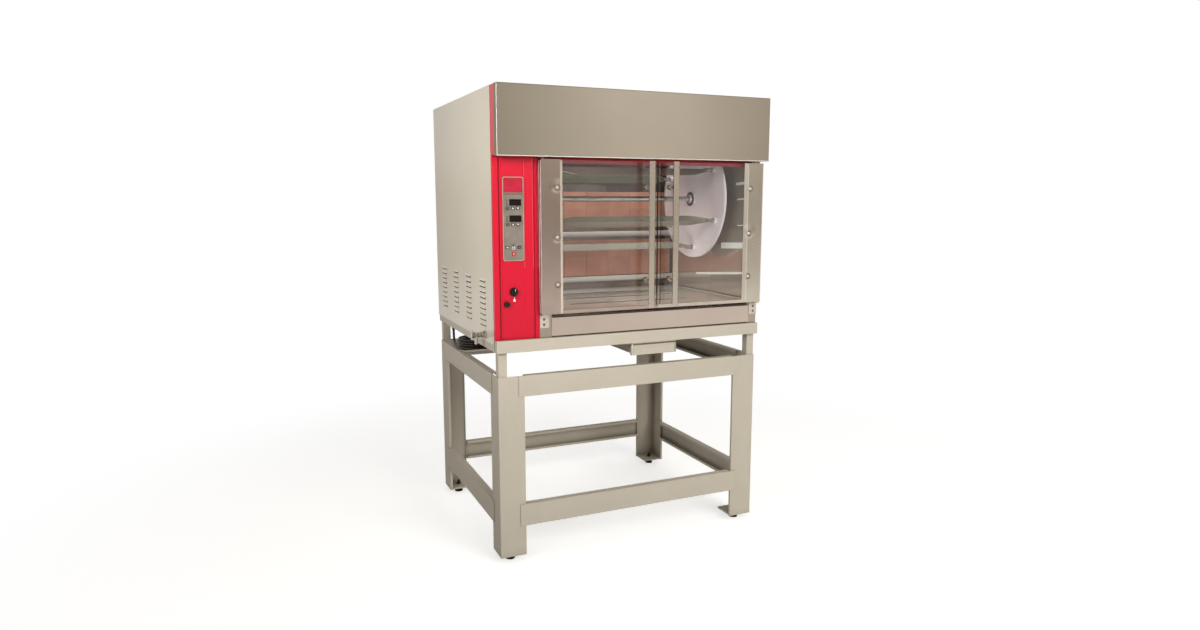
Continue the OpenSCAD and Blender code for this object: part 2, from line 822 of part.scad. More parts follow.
// Draws a left door's piece, or its mirror image for the right door
module for_door(right) {
    at_datum() translate([right ? door_x1 : door_x0, 0, 0]) mirror([right ? 1 : 0, 0, 0]) children();
}

// Section of a stile: a flat face with folded edges and a slanted lip down to the glass
module stile_section() {
    t = skin_t;
    lip_w = 14;
    back_w = 30;
    polygon([[0, 0], [0, door_front], [stile_w, door_front], [stile_w + lip_w, glass_y - 0.1],
        [stile_w + lip_w - 2, glass_y - 0.1], [stile_w - 0.6, door_front + t], [t, door_front + t],
        [t, -t], [back_w, -t], [back_w, 0]]);
}

// Stile, hinge blocks, screw bosses and the channel under the glass
module door_frame(right) {
    block_w = 26;
    block_h = 30;
    channel_h = 14;
    color(steel) for_door(right) difference() {
        union() {
            translate([0, 0, door_z0]) linear_extrude(door_z1 - door_z0) stile_section();
            for (z = [door_z0, door_z1 - block_h])
                block([skin_t / 2, door_front + skin_t / 2, z], [block_w, -skin_t / 2, z + block_h]);
            for (up = boss_up)
                bar_y(door_front + skin_t / 2, glass_set - skin_t / 2 - 0.05, 7, stile_w - 12, door_z0 + up);
            block([block_w - 1, glass_y - 3, door_z0], [door_w, glass_y - 0.2, door_z0 + channel_h]);
            block([block_w - 1, glass_y + glass_t + 0.2, door_z0],
                [door_w, glass_y + glass_t + 3, door_z0 + channel_h]);
            block([block_w - 1, glass_y - 3, door_z0], [door_w, glass_y + glass_t + 3, door_z0 + 3]);
        }
        for (z = [door_z0 - 1, door_z1 - hinge_pin_l])
            translate([hinge_in, hinge_y, z]) cylinder(r = hinge_r + run, h = hinge_pin_l + 1, $fn = 48);
    }
}

module door_glass(right) {
    glass_x0 = 34;
    color([0.75, 0.8, 0.8, 0.35]) for_door(right) difference() {
        block([glass_x0, glass_y, door_z0 + 3 + seat], [door_w, glass_y + glass_t, door_z1 - 2]);
        for (z = standoff_z) bar_y(glass_y - 1, glass_t + 2, 6, door_w - bar_inset, z);
    }
}

// Flat bar on two standoffs that are bolted through the glass
module door_handle(right) {
    bolt_r = 5;
    washer_r = 12;
    x = door_w - bar_inset;
    color(steel) for_door(right) {
        translate([x - bar_w / 2, glass_y - bar_gap - bar_t, door_z0 + 10])
            linear_extrude(door_z1 - door_z0 - 12)
                polygon([[1.5, 0], [bar_w - 1.5, 0], [bar_w, 1.5], [bar_w, bar_t - 1.5], [bar_w - 1.5, bar_t],
                    [1.5, bar_t], [0, bar_t - 1.5], [0, 1.5]]);
        for (z = standoff_z) {
            bar_y(glass_y - bar_gap - 1, bar_gap + 1 - 2, standoff_r, x, z);
            bar_y(glass_y - 2, 2, washer_r, x, z);
            bar_y(glass_y - 2, glass_t + 6, bolt_r, x, z);
            bar_y(glass_y + glass_t, 2, washer_r, x, z);
            bar_y(glass_y + glass_t, 7, 8, x, z);
        }
    }
}

module door_left_frame() { door_frame(false); }
module door_left_glass() { door_glass(false); }
module door_left_handle() { door_handle(false); }
module door_right_frame() { door_frame(true); }
module door_right_glass() { door_glass(true); }
module door_right_handle() { door_handle(true); }

// Lower and upper hinge plates, each with a fixed pin
module hinge_brackets() {
    bracket_h = 56;
    shelf_z = door_z0 - 3 - shelf_t;
    washer_t = 2.7;
    pin_z = door_z0 + hinge_pin_l - 4;
    color(steel) for (right = [false, true]) for_door(right) {
        block([0, 2 - shelf_t, shelf_z + shelf_t - bracket_h], [bracket_w, 2, shelf_z + shelf_t]);
        block([0, hinge_y - 12, shelf_z], [bracket_w - 12, 2, shelf_z + shelf_t]);
        translate([hinge_in, hinge_y, shelf_z]) cylinder(r = hinge_r, h = pin_z - shelf_z, $fn = 48);
        translate([hinge_in, hinge_y, shelf_z]) cylinder(r = 8, h = shelf_t + washer_t, $fn = 48);
        block([0, hinge_y - 12, head_z - shelf_t], [bracket_w - 12, hinge_y + 20, head_z]);
        translate([hinge_in, hinge_y, door_z1 - hinge_pin_l + 4])
            cylinder(r = hinge_r, h = head_z - door_z1 + hinge_pin_l - 5, $fn = 48);
    }
}

// Open box of folded sheet
module open_box(low, high, t) {
    difference() {
        block(low, high);
        block([low[0] + t, low[1] + t, low[2] + t], [high[0] - t, high[1] - t, high[2] + 1]);
    }
}

// Wide drawer under the doors that catches the fat
module drip_pan() {
    z0 = base_top + runner_t + seat;
    lip = 8;
    color(steel) at_datum() {
        open_box([pan_body_x0, pan_t, z0], [pan_body_x1, pan_d, z0 + pan_side], pan_t);
        block([pan_x0, 0, z0], [pan_x1, pan_t, z0 + pan_h]);
        block([pan_x0, 0, z0 + pan_h - pan_t], [pan_x1, lip, z0 + pan_h]);
        block([pan_x0, lip - pan_t, z0 + pan_h - lip], [pan_x1, lip, z0 + pan_h]);
    }
}

// Small tray on flanged edges under the base frame
module drip_tray() {
    body_w = tray_w - 40;
    z0 = tray_z1 - tray_h;
    mid = door_mid;
    color(cream) at_datum() {
        open_box([mid - body_w / 2, pan_t, z0], [mid + body_w / 2, tray_d, tray_flange_z], pan_t);
        for (x = [mid - tray_flange_w / 2, mid + body_w / 2 - pan_t])
            block([x, pan_t, tray_flange_z - pan_t],
                [x + (tray_flange_w - body_w) / 2 + pan_t, tray_d, tray_flange_z]);
        block([mid - tray_w / 2, 0, z0], [mid + tray_w / 2, pan_t, tray_z1]);
        for (x = [mid - tray_w / 2, mid + tray_w / 2 - pan_t])
            block([x, 0, z0], [x + pan_t, 14, tray_z1 - 14]);
        block([mid - tray_w / 2, 0, z0], [mid + tray_w / 2, 14, z0 + pan_t]);
    }
}

// Flat strips under the drip pan and two angles that carry the small tray
module runners() {
    y0 = 16;
    y1 = cab_rear - 30;
    leg_z = tray_flange_z - pan_t - seat;
    leg = 3;
    color(steel) at_datum() {
        for (x = [pan_body_x0 + 4, pan_body_x1 - 4 - runner_w])
            block([x, frame_y + 6, base_top], [x + runner_w, y1, base_top + runner_t]);
        for (side = [0, 1]) translate([door_mid, 0, 0]) mirror([side, 0, 0]) {
            block([tray_flange_w / 2 + guide, y0, leg_z - leg],
                [tray_flange_w / 2 + guide + leg, y1, base_z]);
            block([tray_flange_w / 2 - 8, y0, leg_z - leg],
                [tray_flange_w / 2 + guide + leg, y1, leg_z]);
        }
    }
}

// Involute outline: teeth centred on angle 0 and every pitch after it
function involute(a) = tan(a) * 180 / PI - a;
function half_angle(teeth, rho, base, r) =
    90 / teeth + involute(20) - involute(acos(min(1, base / rho))) - backlash / 4 / r * 180 / PI;
function gear_outline(teeth) =
    let (r = gear_module * teeth / 2, base = r * cos(20), tip = r + gear_module * 0.95,
        root = r - gear_module * 1.2, foot = max(root, base + 0.01),
        flank = [root, foot, (foot + r) / 2, r, (r + tip) / 2, tip])
    [for (n = [0 : teeth - 1], side = [-1, 1], i = [0 : len(flank) - 1])
        let (rho = side < 0 ? flank[i] : flank[len(flank) - 1 - i],
            a = n * 360 / teeth + side * half_angle(teeth, max(rho, foot), base, r))
        rho * [cos(a), sin(a)]];

// Fixed gear on the cavity's left wall, with its boss and an opening for the shaft
module sun_gear() {
    boss_r = 60;
    web_holes = 6;
    web_hole_r = 30;
    web_circle = 108;
    color(dark_steel) at_datum() difference() {
        union() {
            translate([0, axis_y, axis_z]) along_x(sun_x, gear_w) rotate(sun_turn)
                polygon(gear_outline(sun_teeth));
            bar_x(cavity_x0, sun_x - cavity_x0 + 1, boss_r, axis_y, axis_z);
        }
        bar_x(cavity_x0 - 1, 60, wall_hole_r, axis_y, axis_z);
        for (k = [0 : web_holes - 1])
            bar_x(cavity_x0 - 1, 60, web_hole_r, axis_y + web_circle * cos(k * 60),
                axis_z + web_circle * sin(k * 60));
    }
}

// Turning round bar through both discs and both cavity walls
module rotor_shaft() {
    x0 = cavity_x0 - 120;
    x1 = cavity_x1 + liner_t + bearing_l;
    color(steel) at_datum() bar_x(x0, x1 - x0, shaft_r, axis_y, axis_z);
}

// Where spit k stands on the rotor
function spit_turn(k) = 180 - first_spit + k * spit_step;
function spit_at(k) = [axis_y + spit_r * cos(spit_turn(k)), axis_z + spit_r * sin(spit_turn(k))];

// Dished disc with a rim on its outer side, a hub and a boss for each spit
module disc(x, out, bore_r, boss_in) {
    plate_x0 = out < 0 ? x - disc_t : x;
    rim_x0 = out < 0 ? x - rim_d : x;
    boss_x0 = out < 0 ? x - rim_d : x - boss_l;
    boss_len = out < 0 ? rim_d : boss_l + disc_t;
    difference() {
        union() {
            bar_x(plate_x0, disc_t, disc_r, axis_y, axis_z);
            difference() {
                bar_x(rim_x0, rim_d, disc_r, axis_y, axis_z);
                bar_x(rim_x0 - 1, rim_d + 2, disc_r - disc_t, axis_y, axis_z);
            }
            bar_x(x - 14, 28, hub_r, axis_y, axis_z);
            for (k = [0 : spits - 1])
                bar_x(boss_x0, boss_len, boss_in, spit_at(k)[0], spit_at(k)[1]);
        }
        bar_x(x - 40, 80, shaft_r + run, axis_y, axis_z);
        for (k = [0 : spits - 1])
            bar_x(x - 40, 80, bore_r + run, spit_at(k)[0], spit_at(k)[1]);
    }
}

module rotor_discs() {
    color(steel) at_datum() {
        disc(disc_left, -1, journal_r, journal_r + 6);
        disc(disc_right, 1, pin_r, pin_r + 4);
    }
}

// Spit: a V section blade with tapered ends, a pin on the right and a geared journal on the left
module spit(k) {
    blade_x0 = disc_left + 18;
    blade_x1 = disc_right - 20;
    len = blade_x1 - blade_x0;
    f = spit_flange * sin(45);
    s = spit_t / sqrt(2);
    holes = 5;
    hole_r = 2.5;
    hole_pitch = 140;
    tip = pin_r - 2;
    color(steel) at_datum() translate([0, spit_at(k)[0], spit_at(k)[1]]) {
        rotate([spit_turn(k) + ridge_turn - 90, 0, 0]) difference() {
            intersection() {
                along_x(blade_x0, len) polygon([[0, ridge_out], [f, ridge_out - f],
                    [f - s, ridge_out - f - s], [0, ridge_out - 2 * s], [s - f, ridge_out - f - s],
                    [-f, ridge_out - f]]);
                translate([blade_x0, 0, -60]) linear_extrude(100) polygon([[0, -tip], [spit_taper, -f - 1],
                    [len - spit_taper, -f - 1], [len, -tip], [len, tip], [len - spit_taper, f + 1],
                    [spit_taper, f + 1], [0, tip]]);
            }
            for (h = [0 : holes - 1], side = [-1, 1])
                translate([(blade_x0 + blade_x1) / 2 + (h - (holes - 1) / 2) * hole_pitch, 0, ridge_out])
                    rotate([side * 45, 0, 0]) translate([0, side * spit_flange * 0.6, -10])
                        cylinder(r = hole_r, h = 20, $fn = 24);
        }
        bar_x(blade_x1 - 30, disc_right + disc_t + 8 - blade_x1 + 30, pin_r, 0, 0);
        bar_x(sun_x, blade_x0 + 30 - sun_x, journal_r, 0, 0);
        bar_x(disc_left + seat, 6, journal_r + 4, 0, 0);
        bar_x(disc_right - boss_l - 6 - seat, 6, pin_r + 3, 0, 0);
        along_x(sun_x, gear_w) rotate(spit_turn(k) + 180 + 180 / planet_teeth)
            polygon(gear_outline(planet_teeth));
    }
}

module spit_1() { spit(0); }
module spit_2() { spit(1); }
module spit_3() { spit(2); }
module spit_4() { spit(3); }
module spit_5() { spit(4); }
module spit_6() { spit(5); }

// Flanged bearing housings on the outer side of both cavity walls
module shaft_bearings() {
    flange_t = 5;
    color(dark_steel) at_datum() {
        for (side = [0, 1]) difference() {
            x = side == 0 ? cavity_x0 - liner_t : cavity_x1 + liner_t;
            dir = side == 0 ? -1 : 1;
            union() {
                bar_x(min(x, x + dir * flange_t), flange_t, 45, axis_y, axis_z);
                bar_x(min(x, x + dir * bearing_l), bearing_l, 30, axis_y, axis_z);
            }
            bar_x(x - 40, 80, shaft_r + run, axis_y, axis_z);
        }
    }
}

// Gear case on four pillars, with its motor hanging below and a fan cowl
module gearmotor() {
    case_gap = 45;
    case_w = 80;
    case_x1 = cavity_x0 - liner_t - case_gap;
    case_x0 = case_x1 - case_w;
    motor_r = 52;
    motor_l = 190;
    motor_z = axis_z - 75;
    fins = 12;
    motor_x = (case_x0 + case_x1) / 2;
    color([0.35, 0.38, 0.42]) at_datum() difference() {
        union() {
            block([case_x0, axis_y - 65, axis_z - 80], [case_x1, axis_y + 65, axis_z + 60]);
            bar_x(case_x0 - 10, case_x1 - case_x0 + 20, 32, axis_y, axis_z);
            for (y = [-50, 50], z = [-50, 46])
                bar_x(case_x1 - 1, cavity_x0 - liner_t - case_x1 + 1, 7, axis_y + y, axis_z + z);
            translate([motor_x, axis_y, motor_z - motor_l]) cylinder(r = motor_r - 5, h = motor_l, $fn = 64);
            translate([motor_x, axis_y, motor_z - motor_l - 30]) cylinder(r = motor_r, h = 45, $fn = 64);
            translate([motor_x, axis_y, motor_z - 20]) cylinder(r = motor_r, h = 18, $fn = 64);
            for (n = [0 : fins - 1]) translate([motor_x, axis_y, motor_z - motor_l + 12]) rotate(n * 360 / fins)
                translate([0, -1.5, 0]) cube([motor_r, 3, motor_l - 30]);
            block([motor_x - 35, axis_y - motor_r - 28, motor_z - 130],
                [motor_x + 25, axis_y - motor_r + 12, motor_z - 50]);
        }
        bar_x(case_x0 - 20, case_x1 - case_x0 + 40, shaft_r + run, axis_y, axis_z);
    }
}

// Tap body: hexagon at the wall, barrel and a downward spout
module drain_tap() {
    nut_r = 15;
    nut_l = 12;
    barrel_r = 10;
    collar_h = 14;
    color([0.62, 0.60, 0.55]) at_datum() difference() {
        union() {
            translate([-nut_l, tap_y, tap_z]) rotate([0, 90, 0]) cylinder(r = nut_r, h = nut_l, $fn = 6);
            bar_x(-barrel_end, barrel_end - 5, barrel_r, tap_y, tap_z);
            bar_x(-20, 5, barrel_r + 3, tap_y, tap_z);
            translate([spout_x, tap_y, tap_z - spout_drop]) cylinder(r = spout_r, h = spout_drop, $fn = 48);
            translate([spout_x, tap_y, tap_z - collar_h]) cylinder(r = spout_r + 1, h = collar_h, $fn = 48);
        }
        translate([spout_x, tap_y, tap_z - spout_drop - 1]) cylinder(r = spout_bore, h = spout_drop, $fn = 48);
        bar_x(-barrel_end - 1, 12, spindle_r + run, tap_y, tap_z);
    }
}

// Turning end of the tap: a ribbed cap with a wing and a spindle
module tap_handle() {
    wing = 20;
    color([0.62, 0.60, 0.55]) at_datum() {
        bar_x(-tap_reach, tap_reach - barrel_end - seat, 12, tap_y, tap_z);
        bar_x(-barrel_end - 2, 11, spindle_r, tap_y, tap_z);
        block([-tap_reach, tap_y - spindle_r, tap_z - wing], [-tap_reach + 6, tap_y + spindle_r, tap_z + wing]);
    }
}

// Shelf on the left upper rail that holds the coiled cord
module cord_tray() {
    rim = 10;
    x0 = stand_x + leg_t - 0.5;
    x1 = x0 + rack_w;
    y0 = coil_y - rack_ahead;
    y1 = coil_y + rack_behind;
    color(cream) at_datum() {
        block([x0, y0, stand_top], [x1, y1, rack_z]);
        block([x0, y0, stand_top], [x1, y0 + rack_t, stand_top + rim]);
        block([x1 - rack_t, y0, stand_top], [x1, y1, stand_top + rim]);
    }
}

// Hexagon under the base rail and a tapered sleeve round the cord
module cord_gland() {
    color(black) at_datum() translate([gland_x, gland_y, base_z - gland_l]) {
        translate([0, 0, gland_l - 9]) cylinder(r = 14, h = 9, $fn = 6);
        rotate_extrude($fn = 48) polygon([[0, 0], [cord_d / 2 + 1.5, 0], [cord_d / 2 + 2.5, 8],
            [11, 16], [11, gland_l - 8], [0, gland_l - 8]]);
    }
}

// Middle line of the coil: layers that spiral in and out, each climb spread over half a turn
function layer_of(t) = min(coil_layers - 1, floor(t / layer_turns));
function coil_radius(t) = let (u = t - layer_of(t) * layer_turns)
    coil_r - coil_pitch * (layer_of(t) % 2 == 0 ? u : layer_turns - u);
function climb(t, k) = let (u = min(1, max(0, (t - k * layer_turns) * 2 + 0.5))) (1 - cos(180 * u)) / 2;
function coil_height(t) = coil_z0 + coil_pitch * (climb(t, 1) + climb(t, 2) + climb(t, 3));
function coil_point(t) = let (a = 180 + 360 * t)
    [coil_x + coil_radius(t) * cos(a), coil_y + coil_radius(t) * sin(a), coil_height(t)];
coil_line = concat([coil_start],
    [for (i = [0 : coil_turns * rings_per_turn]) coil_point(i / rings_per_turn)], [coil_finish]);

// The cord's free stretches: from the gland to the coil, and from the coil to the plug
cord_down = concat([for (p = [[0, 0, 0], [0, 0, -11], [0, -2, -24], [-1, -7, -36], [-2, -15, -46],
        [-3, -25, -54], [-5, -37, -59]]) gland_end + p],
    [for (p = [[12, 98, 0], [9, 78, 0], [6, 58, 0], [3, 38, 0], [0, 23, 0], [0, 10, 0], [0, seat, 0]])
        coil_start + p]);
cord_tail = concat([for (p = [[0, seat, 0], [0, 3, 0], [0, 14, -2], [0, 26, -7], [0, 39, -14], [0, 50, -19]])
        coil_finish + p],
    [[coil_end_x, plug_y - 12, plug_z], [coil_end_x, plug_y - seat, plug_z]]);

// Sweeps a round tube of n sides along points; up is a direction that the line never takes
function unit(v) = v / norm(v);
function heading(path, i) = i == 0 ? unit(path[1] - path[0])
    : i == len(path) - 1 ? unit(path[i] - path[i - 1])
    : unit(unit(path[i + 1] - path[i]) + unit(path[i] - path[i - 1]));
function ring(p, t, up, r, n) = let (a = unit(cross(t, up)), b = cross(a, t))
    [for (i = [0 : n - 1]) p + r * (cos(i * 360 / n) * a + sin(i * 360 / n) * b)];
module tube(path, up, r, n) {
    count = len(path);
    points = [for (i = [0 : count - 1]) each ring(path[i], heading(path, i), up, r, n)];
    sides = [for (i = [0 : count - 2], j = [0 : n - 1])
        let (a = i * n + j, b = i * n + (j + 1) % n)
        each [[a, b, a + n], [b, b + n, a + n]]];
    start = [for (j = [1 : n - 2]) [0, j + 1, j]];
    finish = [for (j = [1 : n - 2]) [(count - 1) * n, (count - 1) * n + j, (count - 1) * n + j + 1]];
    polyhedron(points, concat(start, sides, finish), convexity = 20);
}

// The coil's least gap to itself, between points at least a third of a turn apart
coil_gap = min([for (i = [0 : len(coil_line) - 1], j = [i + 8 : len(coil_line) - 1])
    norm(coil_line[i] - coil_line[j])]) - cord_d;
echo(coil_gap = coil_gap);

module power_cord() {
    color(black) at_datum() {
        tube(cord_down, [1, 0, 0], cord_d / 2, 8);
        tube(cord_tail, [0, 0, 1], cord_d / 2, 8);
    }
}

module cord_coil() {
    color(black) at_datum() tube(coil_line, [0, 0, 1], cord_d / 2, 6);
}

// Straight plug with a sleeve, a grip, a collar and round pins
module power_plug() {
    pins = 5;
    pin_circle = 12;
    color([0.25, 0.25, 0.26]) at_datum() translate([coil_end_x, plug_y, plug_z]) rotate([-90, 0, 0]) {
        rotate_extrude($fn = 48) polygon([[0, 0], [cord_d / 2 + 2, 0], [cord_d / 2 + 3, 14], [17, 20],
            [18, 38], [plug_r, 44], [plug_r, 58], [plug_r - 3, 60], [plug_r - 3, plug_l], [0, plug_l]]);
        for (i = [0 : pins - 1]) translate([pin_circle * cos(i * 72), pin_circle * sin(i * 72), plug_l - 1])
            cylinder(r = 2.5, h = 18, $fn = 16);
    }
}

legs();
top_rails();
lower_rails();
levelling_feet();
base_frame();
side_panel_left();
side_panel_right();
back_panel();
top_panel();
cavity_left_wall();
cavity_right_wall();
cavity_ceiling();
cavity_floor();
cavity_back_wall();
refractory_tiles();
burner_tubes();
control_column();
cross_rail();
front_posts();
hood_fascia();
control_plate();
selector_knob();
push_button();
key_1();
key_2();
key_3();
key_4();
key_5();
key_6();
key_7();
key_8();
key_9();
door_left_frame();
door_left_glass();
door_left_handle();
door_right_frame();
door_right_glass();
door_right_handle();
hinge_brackets();
drip_pan();
drip_tray();
runners();
rotor_shaft();
rotor_discs();
spit_1();
spit_2();
spit_3();
spit_4();
spit_5();
spit_6();
sun_gear();
gearmotor();
shaft_bearings();
drain_tap();
tap_handle();
cord_tray();
cord_gland();
power_cord();
cord_coil();
power_plug();
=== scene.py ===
"""Looks for a planetary chicken rotisserie on a tall open stand.

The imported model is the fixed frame. Each class dresses one sub-assembly with its finishes and adds the
fine pieces that the solids leave out. Places are given in the millimetres of the cabinet's datum corner
(left face, front of the stand, floor) and turned into the row's metres by at().
"""

import logging
import math
from dataclasses import dataclass, field
from enum import Enum
from functools import cache, partial
from typing import Callable, Iterable, Sequence

import bmesh
import bpy
from bmesh.types import BMesh, BMVert
from bpy.types import Material, Node, NodeSocket, NodeTree, Object, World
from mathutils import Matrix, Vector


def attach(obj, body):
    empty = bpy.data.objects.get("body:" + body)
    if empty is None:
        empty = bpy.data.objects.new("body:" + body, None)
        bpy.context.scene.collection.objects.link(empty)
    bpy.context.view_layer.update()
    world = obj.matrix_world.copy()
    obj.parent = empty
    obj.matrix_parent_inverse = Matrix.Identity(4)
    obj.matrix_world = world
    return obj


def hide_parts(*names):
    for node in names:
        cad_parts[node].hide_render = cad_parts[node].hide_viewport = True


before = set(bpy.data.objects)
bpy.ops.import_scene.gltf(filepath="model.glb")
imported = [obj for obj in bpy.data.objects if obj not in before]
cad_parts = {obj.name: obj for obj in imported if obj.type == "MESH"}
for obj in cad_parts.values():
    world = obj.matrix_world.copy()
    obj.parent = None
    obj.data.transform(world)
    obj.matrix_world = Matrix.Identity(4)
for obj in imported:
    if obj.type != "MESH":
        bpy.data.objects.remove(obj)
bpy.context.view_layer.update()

log = logging.getLogger("rotisserie")

Place = tuple[float, float, float]
Triple = tuple[float, float, float]
Colour = tuple[float, float, float, float]
Sides = tuple[float, float, float, float]
Outline = Sequence[tuple[float, float]]

DATUM_X = 594.0
DATUM_Y = 458.0
MM = 0.001
CREASE_ANGLE = 0.6
WHITE = (1, 1, 1, 1)
TO_LEFT = Vector((-1, 0, 0))
TO_FRONT = Vector((0, -1, 0))
TO_BACK = Vector((0, 1, 0))
UP = Vector((0, 0, 1))


def at(x: float, y: float, z: float) -> Vector:
    """Turns a place in datum millimetres into the row's metres."""
    return Vector(((x - DATUM_X) * MM, (y - DATUM_Y) * MM, z * MM))


def srgb(red: int, green: int, blue: int) -> Colour:
    """Turns a colour given in 0 to 255 into linear values with alpha 1."""

    def linear(value: int) -> float:
        """Undoes the display curve of one channel."""
        v = value / 255
        return v / 12.92 if v <= 0.04045 else ((v + 0.055) / 1.055) ** 2.4

    return (linear(red), linear(green), linear(blue), 1.0)


def shade(colour: Sequence[float], factor: float) -> Colour:
    """Makes a colour lighter or darker by a factor."""
    return (*(min(1, channel * factor) for channel in colour[:3]), 1.0)


class Axis(Enum):
    """A row axis, as an index."""

    X = 0
    Y = 1
    Z = 2


class Sheet:
    """Short calls for building one node tree."""

    def __init__(self, tree: NodeTree) -> None:
        """Keeps the tree to build in."""
        self.tree = tree

    def link(self, a: NodeSocket, b: NodeSocket) -> None:
        """Joins two sockets."""
        self.tree.links.new(a, b)

    def give(self, made: Node, **inputs) -> Node:
        """Feeds a node's inputs.

        Args:
            made: the node.
            inputs: plain values or other nodes' outputs, written as in_NAME or in_NUMBER.

        Returns:
            The same node.
        """
        for key, value in inputs.items():
            name = key[3:].replace("_", " ")
            socket = made.inputs[int(name) if name.isdigit() else name]
            if isinstance(value, NodeSocket):
                self.link(value, socket)
            else:
                socket.default_value = value
        return made

    def node(self, kind: str, **settings) -> Node:
        """Adds a node.

        Args:
            kind: Blender's name of the node type.
            settings: attributes of the node, or values of inputs written as in_NAME or in_NUMBER.

        Returns:
            The new node.
        """
        made = self.tree.nodes.new(kind)
        inputs = {key: settings.pop(key) for key in list(settings) if key.startswith("in_")}
        for key, value in settings.items():
            setattr(made, key, value)
        return self.give(made, **inputs)

    def effect(self, tree: NodeTree, **inputs) -> Node:
        """Adds one of the shared effects."""
        return self.node("ShaderNodeGroup", node_tree=tree, **inputs)

    def math(self, operation: str, a, b=0.0, c=0.0) -> NodeSocket:
        """Adds a Math node and returns its output."""
        return self.node("ShaderNodeMath", operation=operation, in_0=a, in_1=b, in_2=c).outputs[0]

    def noise(self, place: NodeSocket, scale, detail: float, **more) -> NodeSocket:
        """Adds a noise texture and returns its value."""
        made = self.node("ShaderNodeTexNoise", in_Vector=place, in_Scale=scale, in_Detail=detail, **more)
        return made.outputs[0]

    def spread(self, value, low=0.0, high=1.0, start=0.0, end=1.0, **more) -> NodeSocket:
        """Maps the values from low to high onto start to end and returns the result."""
        return self.node("ShaderNodeMapRange", in_0=value, in_1=low, in_2=high, in_3=start, in_4=end,
                         **more).outputs[0]

    def bump(self, height: NodeSocket, distance: float, strength: float = 1.0, **more) -> NodeSocket:
        """Adds a Bump node and returns the bent normal."""
        made = self.node("ShaderNodeBump", in_Strength=strength, in_Distance=distance, in_Height=height,
                         **more)
        return made.outputs[0]

    def glow(self, colour, strength: float = 1.0, kind: str = "ShaderNodeEmission") -> NodeSocket:
        """Adds a shader that gives off light and returns its output."""
        return self.node(kind, in_Color=colour, in_Strength=strength).outputs[0]

    def blend(self, factor: NodeSocket, first: NodeSocket, second: NodeSocket) -> NodeSocket:
        """Mixes two shaders and returns the result."""
        return self.node("ShaderNodeMixShader", in_0=factor, in_1=first, in_2=second).outputs[0]

    def mix(self, factor, a, b, blend: str = "MIX") -> NodeSocket:
        """Mixes two colours and returns the result."""
        return self.node("ShaderNodeMix", data_type="RGBA", blend_type=blend, in_0=factor, in_6=a,
                         in_7=b).outputs[2]

    def ramp(self, value: NodeSocket, *stops: tuple[float, Sequence[float]]) -> NodeSocket:
        """Adds a colour ramp.

        Args:
            value: the socket that drives the ramp.
            stops: pairs of position and colour.

        Returns:
            The ramp's colour output.
        """
        made = self.node("ShaderNodeValToRGB", in_Fac=value)
        elements = made.color_ramp.elements
        for index, (position, colour) in enumerate(stops):
            if index >= 2:
                elements.new(position)
            elements[index].position = position
            elements[index].color = colour
        return made.outputs[0]


def clear_sheet(owner: Material | World) -> Sheet:
    """Empties the node tree of a material or a world and returns its sheet."""
    owner.use_nodes = True
    owner.node_tree.nodes.clear()
    return Sheet(owner.node_tree)


def new_group(name: str, inputs: dict[str, float | None], *outputs: str,
              kind: str = "NodeSocketFloat") -> tuple[Sheet, Node, Node]:
    """Starts a shader node group.

    Args:
        name: the group's name.
        inputs: name and default value of each input, with None for a vector.
        outputs: name of each output.
        kind: socket type of the outputs.

    Returns:
        The group's sheet, its input node and its output node.
    """
    tree = bpy.data.node_groups.new(name, "ShaderNodeTree")
    for label, value in inputs.items():
        taken = "NodeSocketVector" if value is None else "NodeSocketFloat"
        socket = tree.interface.new_socket(name=label, in_out="INPUT", socket_type=taken)
        if value is not None:
            socket.default_value = value
    for label in outputs:
        tree.interface.new_socket(name=label, in_out="OUTPUT", socket_type=kind)
    sheet = Sheet(tree)
    return sheet, sheet.node("NodeGroupInput"), sheet.node("NodeGroupOutput")


def brushed_group() -> NodeTree:
    """Fine lines drawn along X of the vector it is given, with soft cloudy patches.

    Returns:
        The group, whose outputs are Lines and Clouds, both from 0 to 1.
    """
    sheet, given, result = new_group("brushed lines", {"Vector": None, "Fineness": 900, "Cloud Size": 3},
                                     "Lines", "Clouds")
    place, fineness, cloud_size = given.outputs[:3]
    stretch = sheet.node("ShaderNodeVectorMath", operation="MULTIPLY", in_0=place, in_1=(0.012, 1.0, 1.0))
    lines = sheet.noise(stretch.outputs[0], fineness, 3.0)
    sheet.give(result, in_0=lines, in_1=sheet.noise(place, cloud_size, 4.0))
    return sheet.tree


def skin_group() -> NodeTree:
    """The slight waviness of sprayed paint and moulded plastic.

    Returns:
        The group, whose outputs are Peel, a fine height, and Tone, a broad mask.
    """
    sheet, given, result = new_group("sprayed skin", {"Vector": None, "Peel Size": 420, "Tone Size": 2.2},
                                     "Peel", "Tone")
    place, peel_size, tone_size = given.outputs[:3]
    peel = sheet.noise(place, peel_size, 2.0)
    sheet.give(result, in_0=peel, in_1=sheet.noise(place, tone_size, 5.0, in_Roughness=0.6))
    return sheet.tree


def smudge_group() -> NodeTree:
    """Thin wiping marks and grease that change how rough a bright surface is.

    Returns:
        The group, whose output Smudge runs from 0 to 1.
    """
    sheet, given, result = new_group("wiping marks", {"Vector": None, "Size": 7, "Amount": 0.5}, "Smudge")
    warp = sheet.noise(given.outputs[0], given.outputs[1], 3.0, in_Distortion=1.4)
    sheet.give(result, in_0=sheet.math("MULTIPLY", sheet.spread(warp, 0.42, 0.68), given.outputs[2]))
    return sheet.tree


